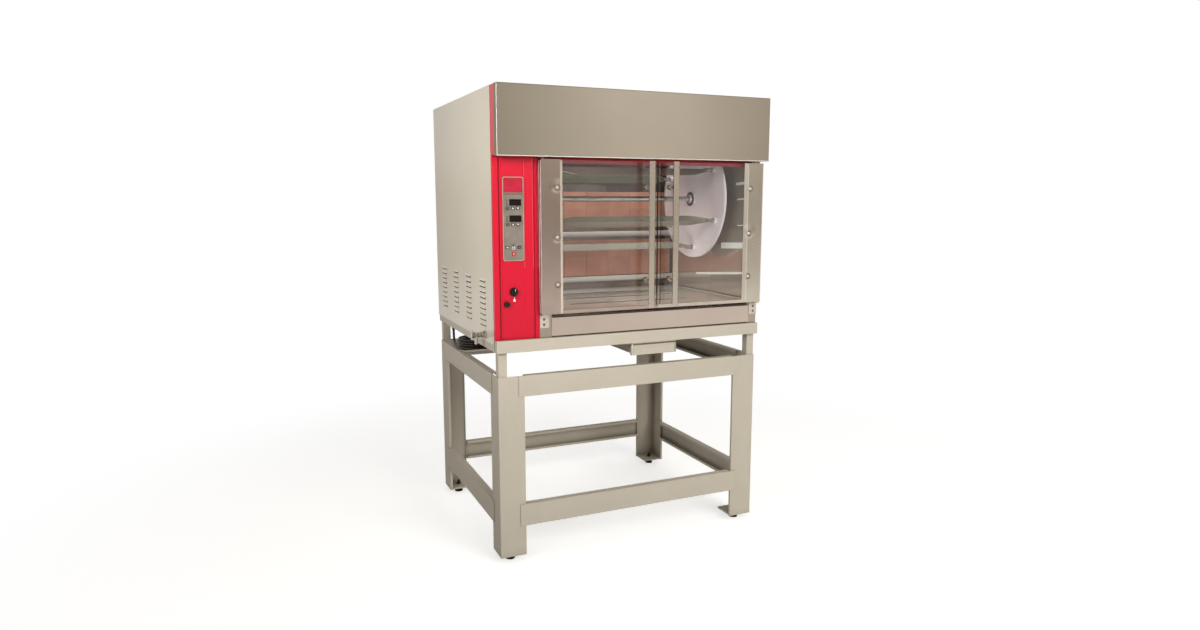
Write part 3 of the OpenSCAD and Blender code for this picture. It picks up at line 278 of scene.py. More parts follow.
def worn_edge_group() -> NodeTree:
    """Where a sharp edge has rubbed bright, from the surface's own bend.

    Returns:
        The group, whose output Edge runs from 0 to 1.
    """
    sheet, given, result = new_group("rubbed edges", {"Vector": None, "Strength": 1.0}, "Edge")
    bend = sheet.node("ShaderNodeNewGeometry").outputs["Pointiness"]
    broken = sheet.math("MULTIPLY", sheet.spread(bend, 0.52, 0.62), sheet.noise(given.outputs[0], 60.0, 4.0))
    sheet.give(result, in_0=sheet.math("MULTIPLY", broken, given.outputs[1]))
    return sheet.tree


def painted_seam_shade_group() -> NodeTree:
    """How open a place is, from the shade that close neighbours throw on it.

    Returns:
        The group, whose output Shade is 1 in the open and falls in seams and inner corners.
    """
    sheet, given, result = new_group("seam shade", {"Reach": 0.03}, "Shade", kind="NodeSocketColor")
    near = sheet.node("ShaderNodeAmbientOcclusion", samples=6, in_Distance=given.outputs[0])
    sheet.give(result, in_0=sheet.ramp(near.outputs["AO"], (0.30, (0.42, 0.40, 0.37, 1)), (0.88, WHITE)))
    return sheet.tree


@dataclass
class Effects:
    """The shared node groups, each built once."""

    brushed: NodeTree = field(default_factory=brushed_group)
    skin: NodeTree = field(default_factory=skin_group)
    smudge: NodeTree = field(default_factory=smudge_group)
    edge: NodeTree = field(default_factory=worn_edge_group)
    painted_seam_shade: NodeTree = field(default_factory=painted_seam_shade_group)


EFFECTS = Effects()


def start_material(name: str) -> tuple[Sheet, Node, NodeSocket, Material]:
    """Starts a material with a Principled shader.

    Args:
        name: the material's name.

    Returns:
        The sheet, the shader node, the object coordinates and the material.
    """
    material = bpy.data.materials.new(name)
    sheet = clear_sheet(material)
    shader = sheet.node("ShaderNodeBsdfPrincipled")
    sheet.node("ShaderNodeOutputMaterial", in_0=shader.outputs[0])
    return sheet, shader, sheet.node("ShaderNodeTexCoord").outputs["Object"], material


@dataclass(frozen=True)
class Finish:
    """A finish: a name and the colour that it shows."""

    name: str
    colour: Colour

    @cache
    def material(self) -> Material:
        """Returns the finish's material, built on first use."""
        return self.build()

    def build(self) -> Material:
        """Builds the material; each kind of finish has its own way."""
        raise NotImplementedError


@dataclass(frozen=True)
class Paint(Finish):
    """Sprayed and baked paint on sheet metal."""

    roughness: float = 0.45
    coat: float = 0.0
    peel: float = 0.05
    rub: float = 0.25
    # how far the painted shade in seams and inner corners reaches, in metres
    shade_reach: float = 0.03

    def build(self) -> Material:
        """Builds paint with a faint peel, a change of tone, rubbed edges and painted shade in seams and
        inner corners.
        """
        sheet, shader, place, material = start_material(self.name)
        peel, tone = sheet.effect(EFFECTS.skin, in_0=place).outputs[:2]
        edge = sheet.effect(EFFECTS.edge, in_0=place, in_1=self.rub).outputs[0]
        # painted shade: the base colour darkens where close neighbours hide a place
        shade_reach = sheet.effect(EFFECTS.painted_seam_shade, in_0=self.shade_reach).outputs[0]
        body = sheet.ramp(tone, (0.3, shade(self.colour, 0.95)), (0.7, shade(self.colour, 1.04)))
        rubbed = sheet.mix(edge, body, shade(self.colour, 1.25))
        sheet.give(shader, in_Base_Color=sheet.mix(1.0, rubbed, shade_reach, "MULTIPLY"),
                   in_Roughness=sheet.spread(tone, start=self.roughness - 0.05, end=self.roughness + 0.05),
                   in_Coat_Weight=self.coat, in_Coat_Roughness=0.08,
                   in_Normal=sheet.bump(peel, 0.0006, self.peel))
        return material


@dataclass(frozen=True)
class Steel(Finish):
    """Stainless steel, brushed along one axis."""

    grain: Axis = Axis.X
    roughness: float = 0.3
    contrast: float = 0.10
    ripple: float = 0.0
    ripple_size: float = 4.0
    smudge: float = 0.4
    anisotropy: float = 0.4
    fineness: float = 900.0
    metallic: float = 1.0
    lines: float = 0.05
    dents: tuple[tuple[Place, float, float], ...] = ()

    def build(self) -> Material:
        """Builds steel with brushing, cloudy patches, wiping marks and a slight ripple."""
        sheet, shader, place, material = start_material(self.name)
        turn = {Axis.X: (0, 0, 0), Axis.Y: (0, 0, -math.pi / 2), Axis.Z: (0, math.pi / 2, 0)}[self.grain]
        along = sheet.node("ShaderNodeMapping", in_Vector=place, in_Rotation=turn).outputs[0]
        lines, clouds = sheet.effect(EFFECTS.brushed, in_0=along, in_1=self.fineness).outputs[:2]
        smudge = sheet.effect(EFFECTS.smudge, in_0=place, in_2=self.smudge).outputs[0]
        tone = sheet.ramp(lines, (0.3, shade(self.colour, 1 - self.contrast)),
                          (0.7, shade(self.colour, 1 + self.contrast)))
        patches = sheet.ramp(clouds, (0.3, (0.93, 0.93, 0.93, 1)), (0.7, WHITE))
        base = sheet.spread(lines, 0.3, 0.7, self.roughness - 0.4 * self.contrast,
                            self.roughness + 0.6 * self.contrast)
        normal = sheet.bump(lines, 0.0002, self.lines)
        if self.ripple > 0:
            normal = sheet.bump(sheet.noise(place, self.ripple_size, 1.5), self.ripple, in_Normal=normal)
        for centre, size, depth in self.dents:
            away = sheet.node("ShaderNodeVectorMath", operation="DISTANCE", in_0=place,
                              in_1=centre).outputs["Value"]
            dip = sheet.spread(away, 0.0, size, interpolation_type="SMOOTHSTEP")
            normal = sheet.bump(dip, depth, in_Normal=normal)
        sheet.give(shader, in_Base_Color=sheet.mix(1.0, tone, patches, "MULTIPLY"),
                   in_Metallic=self.metallic, in_Roughness=sheet.math("MULTIPLY_ADD", smudge, 0.16, base),
                   in_Anisotropic=self.anisotropy,
                   in_Anisotropic_Rotation=0.0 if self.grain is Axis.Z else 0.25, in_Normal=normal)
        return material


@dataclass(frozen=True)
class Moulded(Finish):
    """Plastic or rubber with a fine grain; without the grain it serves for prints and for thin strips of
    painted highlight and shade.
    """

    roughness: float = 0.5
    grain: float = 0.0
    grain_size: float = 1500.0

    def build(self) -> Material:
        """Builds plastic with a fine grain and a slight change of tone."""
        sheet, shader, place, material = start_material(self.name)
        skin = sheet.effect(EFFECTS.skin, in_0=place, in_1=self.grain_size, in_2=25.0)
        peel, tone = skin.outputs[:2]
        body = sheet.ramp(tone, (0.3, shade(self.colour, 0.85)), (0.7, shade(self.colour, 1.15)))
        rough = sheet.spread(tone, start=self.roughness - 0.06, end=self.roughness + 0.06)
        sheet.give(shader, in_Base_Color=body, in_Roughness=rough,
                   in_Normal=sheet.bump(peel, 0.0003, self.grain))
        return material


@dataclass(frozen=True)
class ClearGlass(Finish):
    """Toughened door glass, thin enough that it is shaded as a clear pane."""

    def build(self) -> Material:
        """Builds clear glass; shadow rays pass straight through."""
        sheet, shader, _, material = start_material(self.name)
        sheet.give(shader, in_Base_Color=self.colour, in_Roughness=0.0, in_IOR=1.45,
                   in_Transmission_Weight=1.0)
        path = sheet.node("ShaderNodeLightPath")
        clear = sheet.node("ShaderNodeBsdfTransparent", in_Color=self.colour)
        both = sheet.blend(path.outputs["Is Shadow Ray"], shader.outputs[0], clear.outputs[0])
        sheet.link(both, sheet.tree.nodes["Material Output"].inputs[0])
        return material


@dataclass(frozen=True)
class Refractory(Finish):
    """Fired clay tiles with sandy grain and patches of scorch."""

    pitch: float = 0.121
    row_height: float = 0.244
    first_x: float = -0.378

    def build(self) -> Material:
        """Builds fired clay whose tone changes from tile to tile."""
        sheet, shader, place, material = start_material(self.name)
        parts = sheet.node("ShaderNodeSeparateXYZ", in_0=place)
        along = sheet.math("SUBTRACT", parts.outputs[0], self.first_x)
        column = sheet.math("FLOOR", sheet.math("DIVIDE", along, self.pitch))
        row = sheet.math("FLOOR", sheet.math("DIVIDE", parts.outputs[2], self.row_height))
        cell = sheet.node("ShaderNodeCombineXYZ", in_0=column, in_1=row)
        chance = sheet.node("ShaderNodeTexWhiteNoise", noise_dimensions="3D", in_Vector=cell.outputs[0])
        tone = sheet.ramp(chance.outputs[0], (0.0, shade(self.colour, 0.86)),
                          (1.0, shade(self.colour, 1.12)))
        sand = sheet.noise(place, 260.0, 6.0, in_Roughness=0.7)
        grains = sheet.ramp(sand, (0.35, (0.86, 0.84, 0.82, 1)), (0.65, (1.05, 1.04, 1.02, 1)))
        scorch = sheet.ramp(sheet.noise(place, 9.0, 4.0), (0.35, (0.82, 0.78, 0.76, 1)), (0.62, WHITE))
        clay = sheet.mix(1.0, sheet.mix(1.0, tone, grains, "MULTIPLY"), scorch, "MULTIPLY")
        sheet.give(shader, in_Base_Color=clay, in_Roughness=0.9, in_Normal=sheet.bump(sand, 0.0008, 0.5))
        return material


STAND_PAINT = Paint("stand_paint", srgb(206, 198, 183), roughness=0.55, peel=0.10, rub=0.2, shade_reach=0.07)
PANEL_PAINT = Paint("panel_paint", srgb(232, 222, 203), roughness=0.36, coat=0.35, rub=0.15)
RED_PAINT = Paint("red_paint", srgb(220, 0, 46), roughness=0.34, coat=0.1, rub=0.1, shade_reach=0.02)
# a darker copy of the red paint for the cross rail: painted shade under the fascia's overhang
RED_RAIL_SHADED = Paint("rail_paint_shaded", srgb(186, 2, 22), roughness=0.35, coat=0.1, rub=0.1)
MOTOR_PAINT = Paint("motor_paint", srgb(96, 102, 110), roughness=0.5, peel=0.2, rub=0.6)
FASCIA_STEEL = Steel("fascia_steel", srgb(216, 206, 190), roughness=0.24, contrast=0.008, anisotropy=0.8,
                     lines=0.006, smudge=0.1)
# darker steel on the fascia's left return and along its top edge: painted shade
RETURN_SHADE_STEEL = Steel("return_painted_shade", srgb(150, 146, 126), Axis.Z, roughness=0.4, contrast=0.02, lines=0.01)
POST_STEEL = Steel("post_steel", srgb(212, 200, 184), Axis.Z, contrast=0.02, lines=0.02)
# one steel for both stiles, in a darker copy on the left and a lighter copy on the right: painted shade and
# painted light
STILE_LEFT_SHADED = Steel("stile_steel_left", srgb(208, 191, 180), Axis.Z, roughness=0.2, contrast=0.012,
                   ripple=0.0010, anisotropy=0.6, lines=0.008,
                   dents=((tuple(at(254, -30, 1566)), 0.034, -0.0030),
                          (tuple(at(255, -30, 1358)), 0.024, -0.0014)))
STILE_RIGHT_LIT = Steel("stile_steel_right", srgb(234, 226, 213), Axis.Z, roughness=0.22, contrast=0.012,
                    ripple=0.0010, anisotropy=0.6, lines=0.008,
                    dents=((tuple(at(1178, -30, 1372)), 0.04, -0.0016),))
# flat white: thin raised bands on the right wall whose white is a painted reflection
REFLECTION_BAND_WHITE = Steel("painted_reflection_white", srgb(255, 253, 248), Axis.Y, contrast=0.0, smudge=0.0, lines=0.0,
                   metallic=0.0)
# pale steel: painted highlight on the left stile's lip and along the right stile's folds
LIP_HIGHLIGHT_STEEL = Steel("lip_painted_highlight", srgb(252, 240, 226), Axis.Z, roughness=0.24, contrast=0.0, smudge=0.0,
                  lines=0.0, metallic=0.5)
HANDLE_STEEL = Steel("handle_steel", srgb(228, 218, 203), Axis.Z, roughness=0.24, contrast=0.03, lines=0.02)
PAN_STEEL = Steel("pan_steel", srgb(234, 219, 207), roughness=0.22, contrast=0.01, ripple=0.0016,
                  ripple_size=2.2, smudge=0.06, lines=0.004)
LINER_STEEL = Steel("liner_steel", srgb(220, 206, 190), Axis.Y, roughness=0.09, contrast=0.01, ripple=0.0014,
                    ripple_size=2.5, smudge=0.1, anisotropy=0.0, lines=0.0, metallic=0.72)
FLOOR_STEEL = Steel("floor_steel", srgb(250, 238, 224), Axis.Y, roughness=0.16, contrast=0.02, ripple=0.0032,
                    ripple_size=3.2, smudge=0.2, anisotropy=0.0, lines=0.0, metallic=0.42)
BACK_STEEL = Steel("back_steel", srgb(128, 113, 106), roughness=0.2, contrast=0.03, ripple=0.0014,
                   ripple_size=6.0, smudge=0.3, lines=0.01)
TUBE_STEEL = Steel("tube_steel", srgb(205, 200, 193), contrast=0.02, smudge=0.1, lines=0.0, metallic=0.1)
LEDGE_STEEL = Steel("ledge_steel", srgb(196, 184, 170), roughness=0.22, contrast=0.03, ripple=0.0010,
                    smudge=0.3, lines=0.01)
BRACKET_STEEL = Steel("bracket_steel", srgb(232, 224, 212), roughness=0.4, contrast=0.03, metallic=0.4)
DISC_STEEL = Steel("disc_steel", srgb(250, 240, 246), Axis.Y, roughness=0.32, contrast=0.01, ripple=0.0006,
                   anisotropy=0.0, smudge=0.1, metallic=0.15, lines=0.0)
# near white: a ring near each disc's edge, painted highlight
RIM_HIGHLIGHT = Steel("rim_painted_highlight", srgb(252, 248, 242), contrast=0.01, metallic=0.1, lines=0.0)
HUB_STEEL = Steel("hub_steel", srgb(70, 66, 66), roughness=0.4, contrast=0.05, metallic=0.2)
SPIT_STEEL = Steel("spit_steel", srgb(192, 187, 172), roughness=0.24, contrast=0.03, smudge=0.1,
                   lines=0.006, metallic=0.8)
# bright steel strip: painted highlight on the handle bars' left edges
BAR_HIGHLIGHT_STEEL = Steel("bar_painted_highlight", srgb(255, 252, 249), Axis.Z, roughness=0.16, contrast=0.0, smudge=0.0,
                   lines=0.0)
SHAFT_STEEL = Steel("shaft_steel", srgb(196, 190, 184), roughness=0.14, contrast=0.05)
GEAR_STEEL = Steel("gear_steel", srgb(150, 146, 140), roughness=0.42, contrast=0.12, fineness=400.0)
SCREW_STEEL = Steel("screw_steel", srgb(246, 242, 234), roughness=0.16, contrast=0.02, metallic=0.7)
NICKEL = Steel("nickel", srgb(196, 190, 178), roughness=0.14, contrast=0.04, smudge=0.2, anisotropy=0.0,
               metallic=0.9)
# dark red and pale red strips: painted shade in the column's fold valleys and painted highlight on its
# crests
PAINTED_FOLD_SHADE = Moulded("fold_shade", srgb(128, 4, 24))
PAINTED_FOLD_HIGHLIGHT = Moulded("fold_highlight", srgb(244, 120, 128), 0.35)
# a pale strip: painted highlight on the fascia's edges and the left door's outer fold
EDGE_HIGHLIGHT = Moulded("painted_edge_highlight", srgb(246, 238, 236), 0.3)
# dark grey: the hinge screws' heads, and painted shade under the stile caps, on the handle bars' right edges
# and in the tray's folds
SCREW_DARK_AND_SHADE = Moulded("screw_dark_and_painted_shade", srgb(120, 108, 98))
# dark strips: painted shade on the left door's outer fold and along the pan's top, and the dark lines along
# the glass edges
EDGE_DARK = Moulded("edge_dark", srgb(40, 30, 28))
# a dark strip under each louvre's lip: painted shadow
LOUVRE_SHADOW_PAINT = Moulded("louvre_painted_shadow", srgb(44, 38, 33), 0.7)
# a pale strip: painted highlight on the louvre lips, the side panel's front edge and the tray's rim
PALE_HIGHLIGHT_PAINT = Moulded("pale_painted_highlight", srgb(250, 244, 230))
# near black studs on the burner tubes: painted shade for the port holes
PORT_SHADE = Moulded("port_hole_shade", srgb(22, 20, 19), 0.8)
MEMBRANE = Moulded("control_membrane", srgb(136, 128, 119), 0.4, 0.08)
MEMBRANE_RED = Moulded("membrane_red", srgb(196, 22, 58), 0.36, 0.06)
MEMBRANE_EDGE = Moulded("membrane_edge", srgb(196, 184, 164), 0.4, 0.05)
KEY_PLASTIC = Moulded("key_plastic", srgb(126, 120, 110), 0.42, 0.08)
DISPLAY = Moulded("display_window", srgb(26, 16, 16), 0.08)
MARK_OLIVE = Moulded("mark_olive", srgb(104, 92, 72))
MARK_WHITE = Moulded("mark_white", srgb(244, 242, 238), 0.45, 0.02)
MARK_DARK = Moulded("mark_dark", srgb(40, 36, 34), 0.5, 0.02)
BLACK_PLASTIC = Moulded("black_plastic", srgb(26, 25, 25), 0.34, 0.1)
FOOT_PLASTIC = Moulded("foot_plastic", srgb(30, 29, 29), 0.55, 0.2)
CORD_RUBBER = Moulded("cord_rubber", srgb(46, 41, 36), 0.36, 0.25, 900.0)
PLUG_PLASTIC = Moulded("plug_plastic", srgb(74, 71, 68), 0.42, 0.15)
DOOR_GLASS = ClearGlass("door_glass", (0.96, 0.98, 0.975, 1.0))
CLAY = Refractory("refractory_clay", srgb(199, 143, 122))


def dress(finish: Finish, *nodes: str) -> Object:
    """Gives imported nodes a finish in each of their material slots.

    Args:
        finish: the finish.
        nodes: the nodes' names.

    Returns:
        The last node's object.
    """
    for node in nodes:
        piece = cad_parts[node]
        if not piece.material_slots:
            piece.data.materials.append(None)
        for slot in piece.material_slots:
            slot.material = finish.material()
    return piece


def add_object(name: str, data: bpy.types.ID) -> Object:
    """Sets a new object with the given data in the scene and returns it."""
    made = bpy.data.objects.new(name, data)
    bpy.context.scene.collection.objects.link(made)
    return made


def settle(mesh: BMesh, name: str) -> bpy.types.Mesh:
    """Turns a finished bmesh, which is freed, into a mesh that is smooth between its creases."""
    data = bpy.data.meshes.new(name)
    mesh.to_mesh(data)
    mesh.free()
    data.set_sharp_from_angle(angle=CREASE_ANGLE)
    for face in data.polygons:
        face.use_smooth = True
    return data


def add_box(mesh: BMesh, low: Vector, high: Vector) -> None:
    """Adds a block between two corners in row metres."""
    size = high - low
    middle = (high + low) / 2
    for vert in bmesh.ops.create_cube(mesh, size=1.0)["verts"]:
        vert.co = vert.co * size + middle


def add_bar(mesh: BMesh, start: Vector, end: Vector, across: Vector, out: Vector) -> None:
    """Adds a straight bar with a four-sided section between two points.

    Args:
        mesh: the bmesh that gets the bar.
        start: one corner at its first end.
        end: the same corner at its other end.
        across: the section's first side.
        out: the section's second side.
    """
    steps = (Vector(), across, across + out, out)
    first, last = [[mesh.verts.new(place + step) for step in steps] for place in (start, end)]
    faces = [mesh.faces.new(first), mesh.faces.new(last[::-1])]
    faces += [mesh.faces.new((first[i], first[i - 1], last[i - 1], last[i])) for i in range(4)]
    bmesh.ops.recalc_face_normals(mesh, faces=faces)


def add_lathe(mesh: BMesh, profile: Outline, base: Vector, axis: Vector, sides: int) -> None:
    """Adds a turned solid, or a turned skin whose profile stays off the axis.

    Args:
        mesh: the bmesh to add to.
        profile: pairs of height along the axis and radius, in metres.
        base: where height 0 stands.
        axis: the direction of the axis.
        sides: how many faces go round.
    """
    turn = axis.normalized().to_track_quat("Z", "Y").to_matrix()
    rings: list[list[BMVert]] = []
    for height, radius in profile:
        if radius < 1e-7:
            rings.append([mesh.verts.new(base + turn @ Vector((0, 0, height)))])
            continue
        rings.append([
            mesh.verts.new(base + turn @ Vector((radius * math.cos(a), radius * math.sin(a), height)))
            for a in (2 * math.pi * i / sides for i in range(sides))
        ])
    for below, above in zip(rings, rings[1:]):
        for i in range(sides):
            j = (i + 1) % sides
            corners = [below[i % len(below)], below[j % len(below)], above[j % len(above)],
                       above[i % len(above)]]
            unique = list(dict.fromkeys(corners))
            if len(unique) > 2:
                mesh.faces.new(unique)


def add_plate(mesh: BMesh, outline: Outline, y_front: float, y_back: float) -> None:
    """Adds a flat plate whose outline is given in X and Z of the datum, in millimetres.

    Args:
        mesh: the bmesh to add to.
        outline: the corners, going round clockwise as seen from the front.
        y_front: the datum Y of its front face.
        y_back: the datum Y of its back face.
    """
    front, back = [[mesh.verts.new(at(x, y, z)) for x, z in outline] for y in (y_front, y_back)]
    faces = [mesh.faces.new(front), mesh.faces.new(back[::-1])]
    faces += [mesh.faces.new((front[i], front[i - 1], back[i - 1], back[i])) for i in range(len(outline))]
    bmesh.ops.recalc_face_normals(mesh, faces=faces)


def rounded(x0: float, z0: float, x1: float, z1: float, r: float,
            steps: int = 6) -> list[tuple[float, float]]:
    """Outlines a rectangle with round corners in X and Z."""
    corners = [(x1 - r, z1 - r, 0), (x0 + r, z1 - r, 90), (x0 + r, z0 + r, 180), (x1 - r, z0 + r, 270)]
    return [(cx + r * math.cos(math.radians(start + 90 * i / steps)),
             cz + r * math.sin(math.radians(start + 90 * i / steps))) for cx, cz, start in corners
            for i in range(steps + 1)]


def oblong(x0: float, z0: float, x1: float, z1: float) -> list[tuple[float, float]]:
    """Outlines a rectangle with square corners in X and Z."""
    return [(x1, z0), (x1, z1), (x0, z1), (x0, z0)]


def around(x: float, z: float, half_x: float, half_z: float) -> Sides:
    """Returns the sides x0, z0, x1, z1 of a rectangle about a middle."""
    return (x - half_x, z - half_z, x + half_x, z + half_z)


def inset(box: Sides, gap: float) -> Sides:
    """Draws the sides x0, z0, x1, z1 of a rectangle in by a gap."""
    x0, z0, x1, z1 = box
    return (x0 + gap, z0 + gap, x1 - gap, z1 - gap)


def sleeve(inner: float, outer: float, depth: float) -> Outline:
    """Returns the profile of a turned collar with two radii and a depth, in metres."""
    return [(0, inner), (0, outer), (depth, outer), (depth, inner)]


@dataclass
class Spot:
    """A place for a repeated shape, and the direction that its +Z points in."""

    place: Vector
    axis: Vector
    roll: float = 0.0


@dataclass
class Piece:
    """A small piece that rides on a body. One call of one of its methods makes it.

    Args:
        name: its name.
        finish: its finish.
        body: the body that it rides on.
        slot: the record's material slot; not used.
        mesh: the bmesh that it is made in, in row metres.
    """

    name: str
    finish: Finish
    body: str = "cabinet"
    slot: str = "front_steel"
    mesh: BMesh = field(default_factory=bmesh.new)

    def place(self) -> None:
        """Turns the finished bmesh into the piece and sets it on its body."""
        piece = add_object(self.name, settle(self.mesh, self.name))
        piece.data.materials.append(self.finish.material())
        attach(piece, self.body)
        log.info("piece %s: %d faces on %s", self.name, len(piece.data.polygons), self.body)

    def boxes(self, *boxes: Sequence[float]) -> None:
        """Makes it of plain blocks, each x0, y0, z0, x1, y1, z1 in datum millimetres."""
        for box in boxes:
            add_box(self.mesh, at(*box[:3]), at(*box[3:]))
        self.place()

    def bars(self, *bars: Sequence[Vector]) -> None:
        """Makes it of straight bars, each given as add_bar takes it."""
        for bar in bars:
            add_bar(self.mesh, *bar)
        self.place()

    def rings(self, profile: Outline, spots: Iterable[Spot], sides: int) -> None:
        """Makes it of turned rings with one profile, given as add_lathe takes it."""
        for spot in spots:
            add_lathe(self.mesh, profile, spot.place, spot.axis, sides)
        self.place()

    def plates(self, y: tuple[float, float], *outlines: Outline) -> None:
        """Makes it of flat plates between a front and a back Y."""
        for outline in outlines:
            add_plate(self.mesh, outline, *y)
        self.place()

    def band(self, y: tuple[float, float], outer: Sides, inner: Sides, radii: tuple[float, float]) -> None:
        """Makes it a flat band between two rounded rectangles.

        Args:
            y: its front and back Y.
            outer: x0, z0, x1, z1 of the outer line.
            inner: the same for the inner line.
            radii: the corner radii of both lines.
        """
        lines = [rounded(*outer, radii[0]), rounded(*inner, radii[1])]
        (of, ob), (nf, nb) = [[[self.mesh.verts.new(at(x, depth, z)) for x, z in line] for depth in y]
                              for line in lines]
        for i in range(len(of)):
            for a, b in ((of, nf), (nf, nb), (nb, ob), (ob, of)):
                self.mesh.faces.new([a[i - 1], a[i], b[i], b[i - 1]])
        bmesh.ops.recalc_face_normals(self.mesh, faces=self.mesh.faces)
        self.place()


def dome_head(mesh: BMesh, radius: float, height: float, recess: float) -> None:
    """Adds a domed screw head with a socket."""
    steps = 6
    bow = [math.pi / 2 * i / steps for i in range(1, steps)]
    profile = [(0.0, 0.0), (0.0, radius)]
    profile += [(height * math.sin(a), radius * math.cos(a)) for a in bow if radius * math.cos(a) > recess]
    profile += [(height * 0.97, recess), (height * 0.45, recess * 0.85), (height * 0.45, 0.0)]
    add_lathe(mesh, profile, Vector(), UP, 24)


def hex_head(mesh: BMesh, radius: float, height: float) -> None:
    """Adds a hexagon bolt head on a washer."""
    washer = [(0, 0), (0, radius * 1.45), (height * 0.22, radius * 1.4), (height * 0.22, 0)]
    head = [(height * 0.2, 0), (height * 0.2, radius), (height * 0.9, radius), (height, radius * 0.86),
            (height, 0)]
    add_lathe(mesh, washer, Vector(), UP, 24)
    add_lathe(mesh, head, Vector(), UP, 6)


def scatter_tree(name: str, finish: Finish) -> NodeTree:
    """Builds a Geometry Nodes tree that sets a copy of a shape on every point of a mesh.

    The points carry their turning in an attribute called turn.

    Args:
        name: the tree's name.
        finish: the finish of the copies.

    Returns:
        The tree, with inputs Points and Shape.
    """
    tree = bpy.data.node_groups.new(name, "GeometryNodeTree")
    for label, way, kind in (("Points", "INPUT", "Geometry"), ("Shape", "INPUT", "Object"),
                             ("Pieces", "OUTPUT", "Geometry")):
        tree.interface.new_socket(name=label, in_out=way, socket_type="NodeSocket" + kind)
    sheet = Sheet(tree)
    given, result = sheet.node("NodeGroupInput"), sheet.node("NodeGroupOutput")
    shape = sheet.node("GeometryNodeObjectInfo", in_Object=given.outputs["Shape"])
    turn = sheet.node("GeometryNodeInputNamedAttribute", data_type="FLOAT_VECTOR", in_Name="turn")
    copies = sheet.node("GeometryNodeInstanceOnPoints", in_Points=given.outputs["Points"],
                        in_Instance=shape.outputs["Geometry"], in_Rotation=turn.outputs[0])
    real = sheet.node("GeometryNodeRealizeInstances", in_Geometry=copies.outputs[0])
    dressed = sheet.node("GeometryNodeSetMaterial", in_Geometry=real.outputs[0],
                         in_Material=finish.material())
    sheet.link(dressed.outputs[0], result.inputs[0])
    return tree


@dataclass(frozen=True)
class Repeated:
    """A small shape set on many spots by Geometry Nodes and baked to one mesh for each body."""

    name: str
    finish: Finish
    slot: str
    shape: Callable[[BMesh], None]

    def spread(self, spots: Iterable[Spot], body: str, suffix: str = "") -> None:
        """Sets the shape on the spots and bakes the result.

        Args:
            spots: where the copies go.
            body: the body that they ride on.
            suffix: added to the name, where there are several sets.
        """
        mesh = bmesh.new()
        self.shape(mesh)
        bmesh.ops.recalc_face_normals(mesh, faces=mesh.faces)
        pattern = add_object(self.name + "_pattern", settle(mesh, self.name + "_pattern"))
        points = list(spots)
        cloud = bpy.data.meshes.new(self.name + suffix)
        cloud.from_pydata([tuple(spot.place) for spot in points], [], [])
        turns = cloud.attributes.new("turn", "FLOAT_VECTOR", "POINT")
        for index, spot in enumerate(points):
            roll = Matrix.Rotation(spot.roll, 3, "Z").to_quaternion()
            aim = spot.axis.normalized().to_track_quat("Z", "Y") @ roll
            turns.data[index].vector = tuple(aim.to_euler("XYZ"))
        carrier = add_object(self.name + suffix, cloud)
        tree = scatter_tree(self.name + suffix, self.finish)
        modifier = carrier.modifiers.new("copies", "NODES")
        modifier.node_group = tree
        sockets = {item.name: item.identifier
                   for item in tree.interface.items_tree if item.in_out == "INPUT"}
        modifier[sockets["Shape"]] = pattern
        bpy.context.view_layer.update()
        baked = bpy.data.meshes.new_from_object(carrier.evaluated_get(bpy.context.evaluated_depsgraph_get()))
        carrier.modifiers.remove(modifier)
        carrier.data = baked
        bpy.data.objects.remove(pattern)
        if not baked.materials:
            baked.materials.append(self.finish.material())
        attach(carrier, body)
        log.info("piece %s: %d copies on %s", carrier.name, len(points), body)


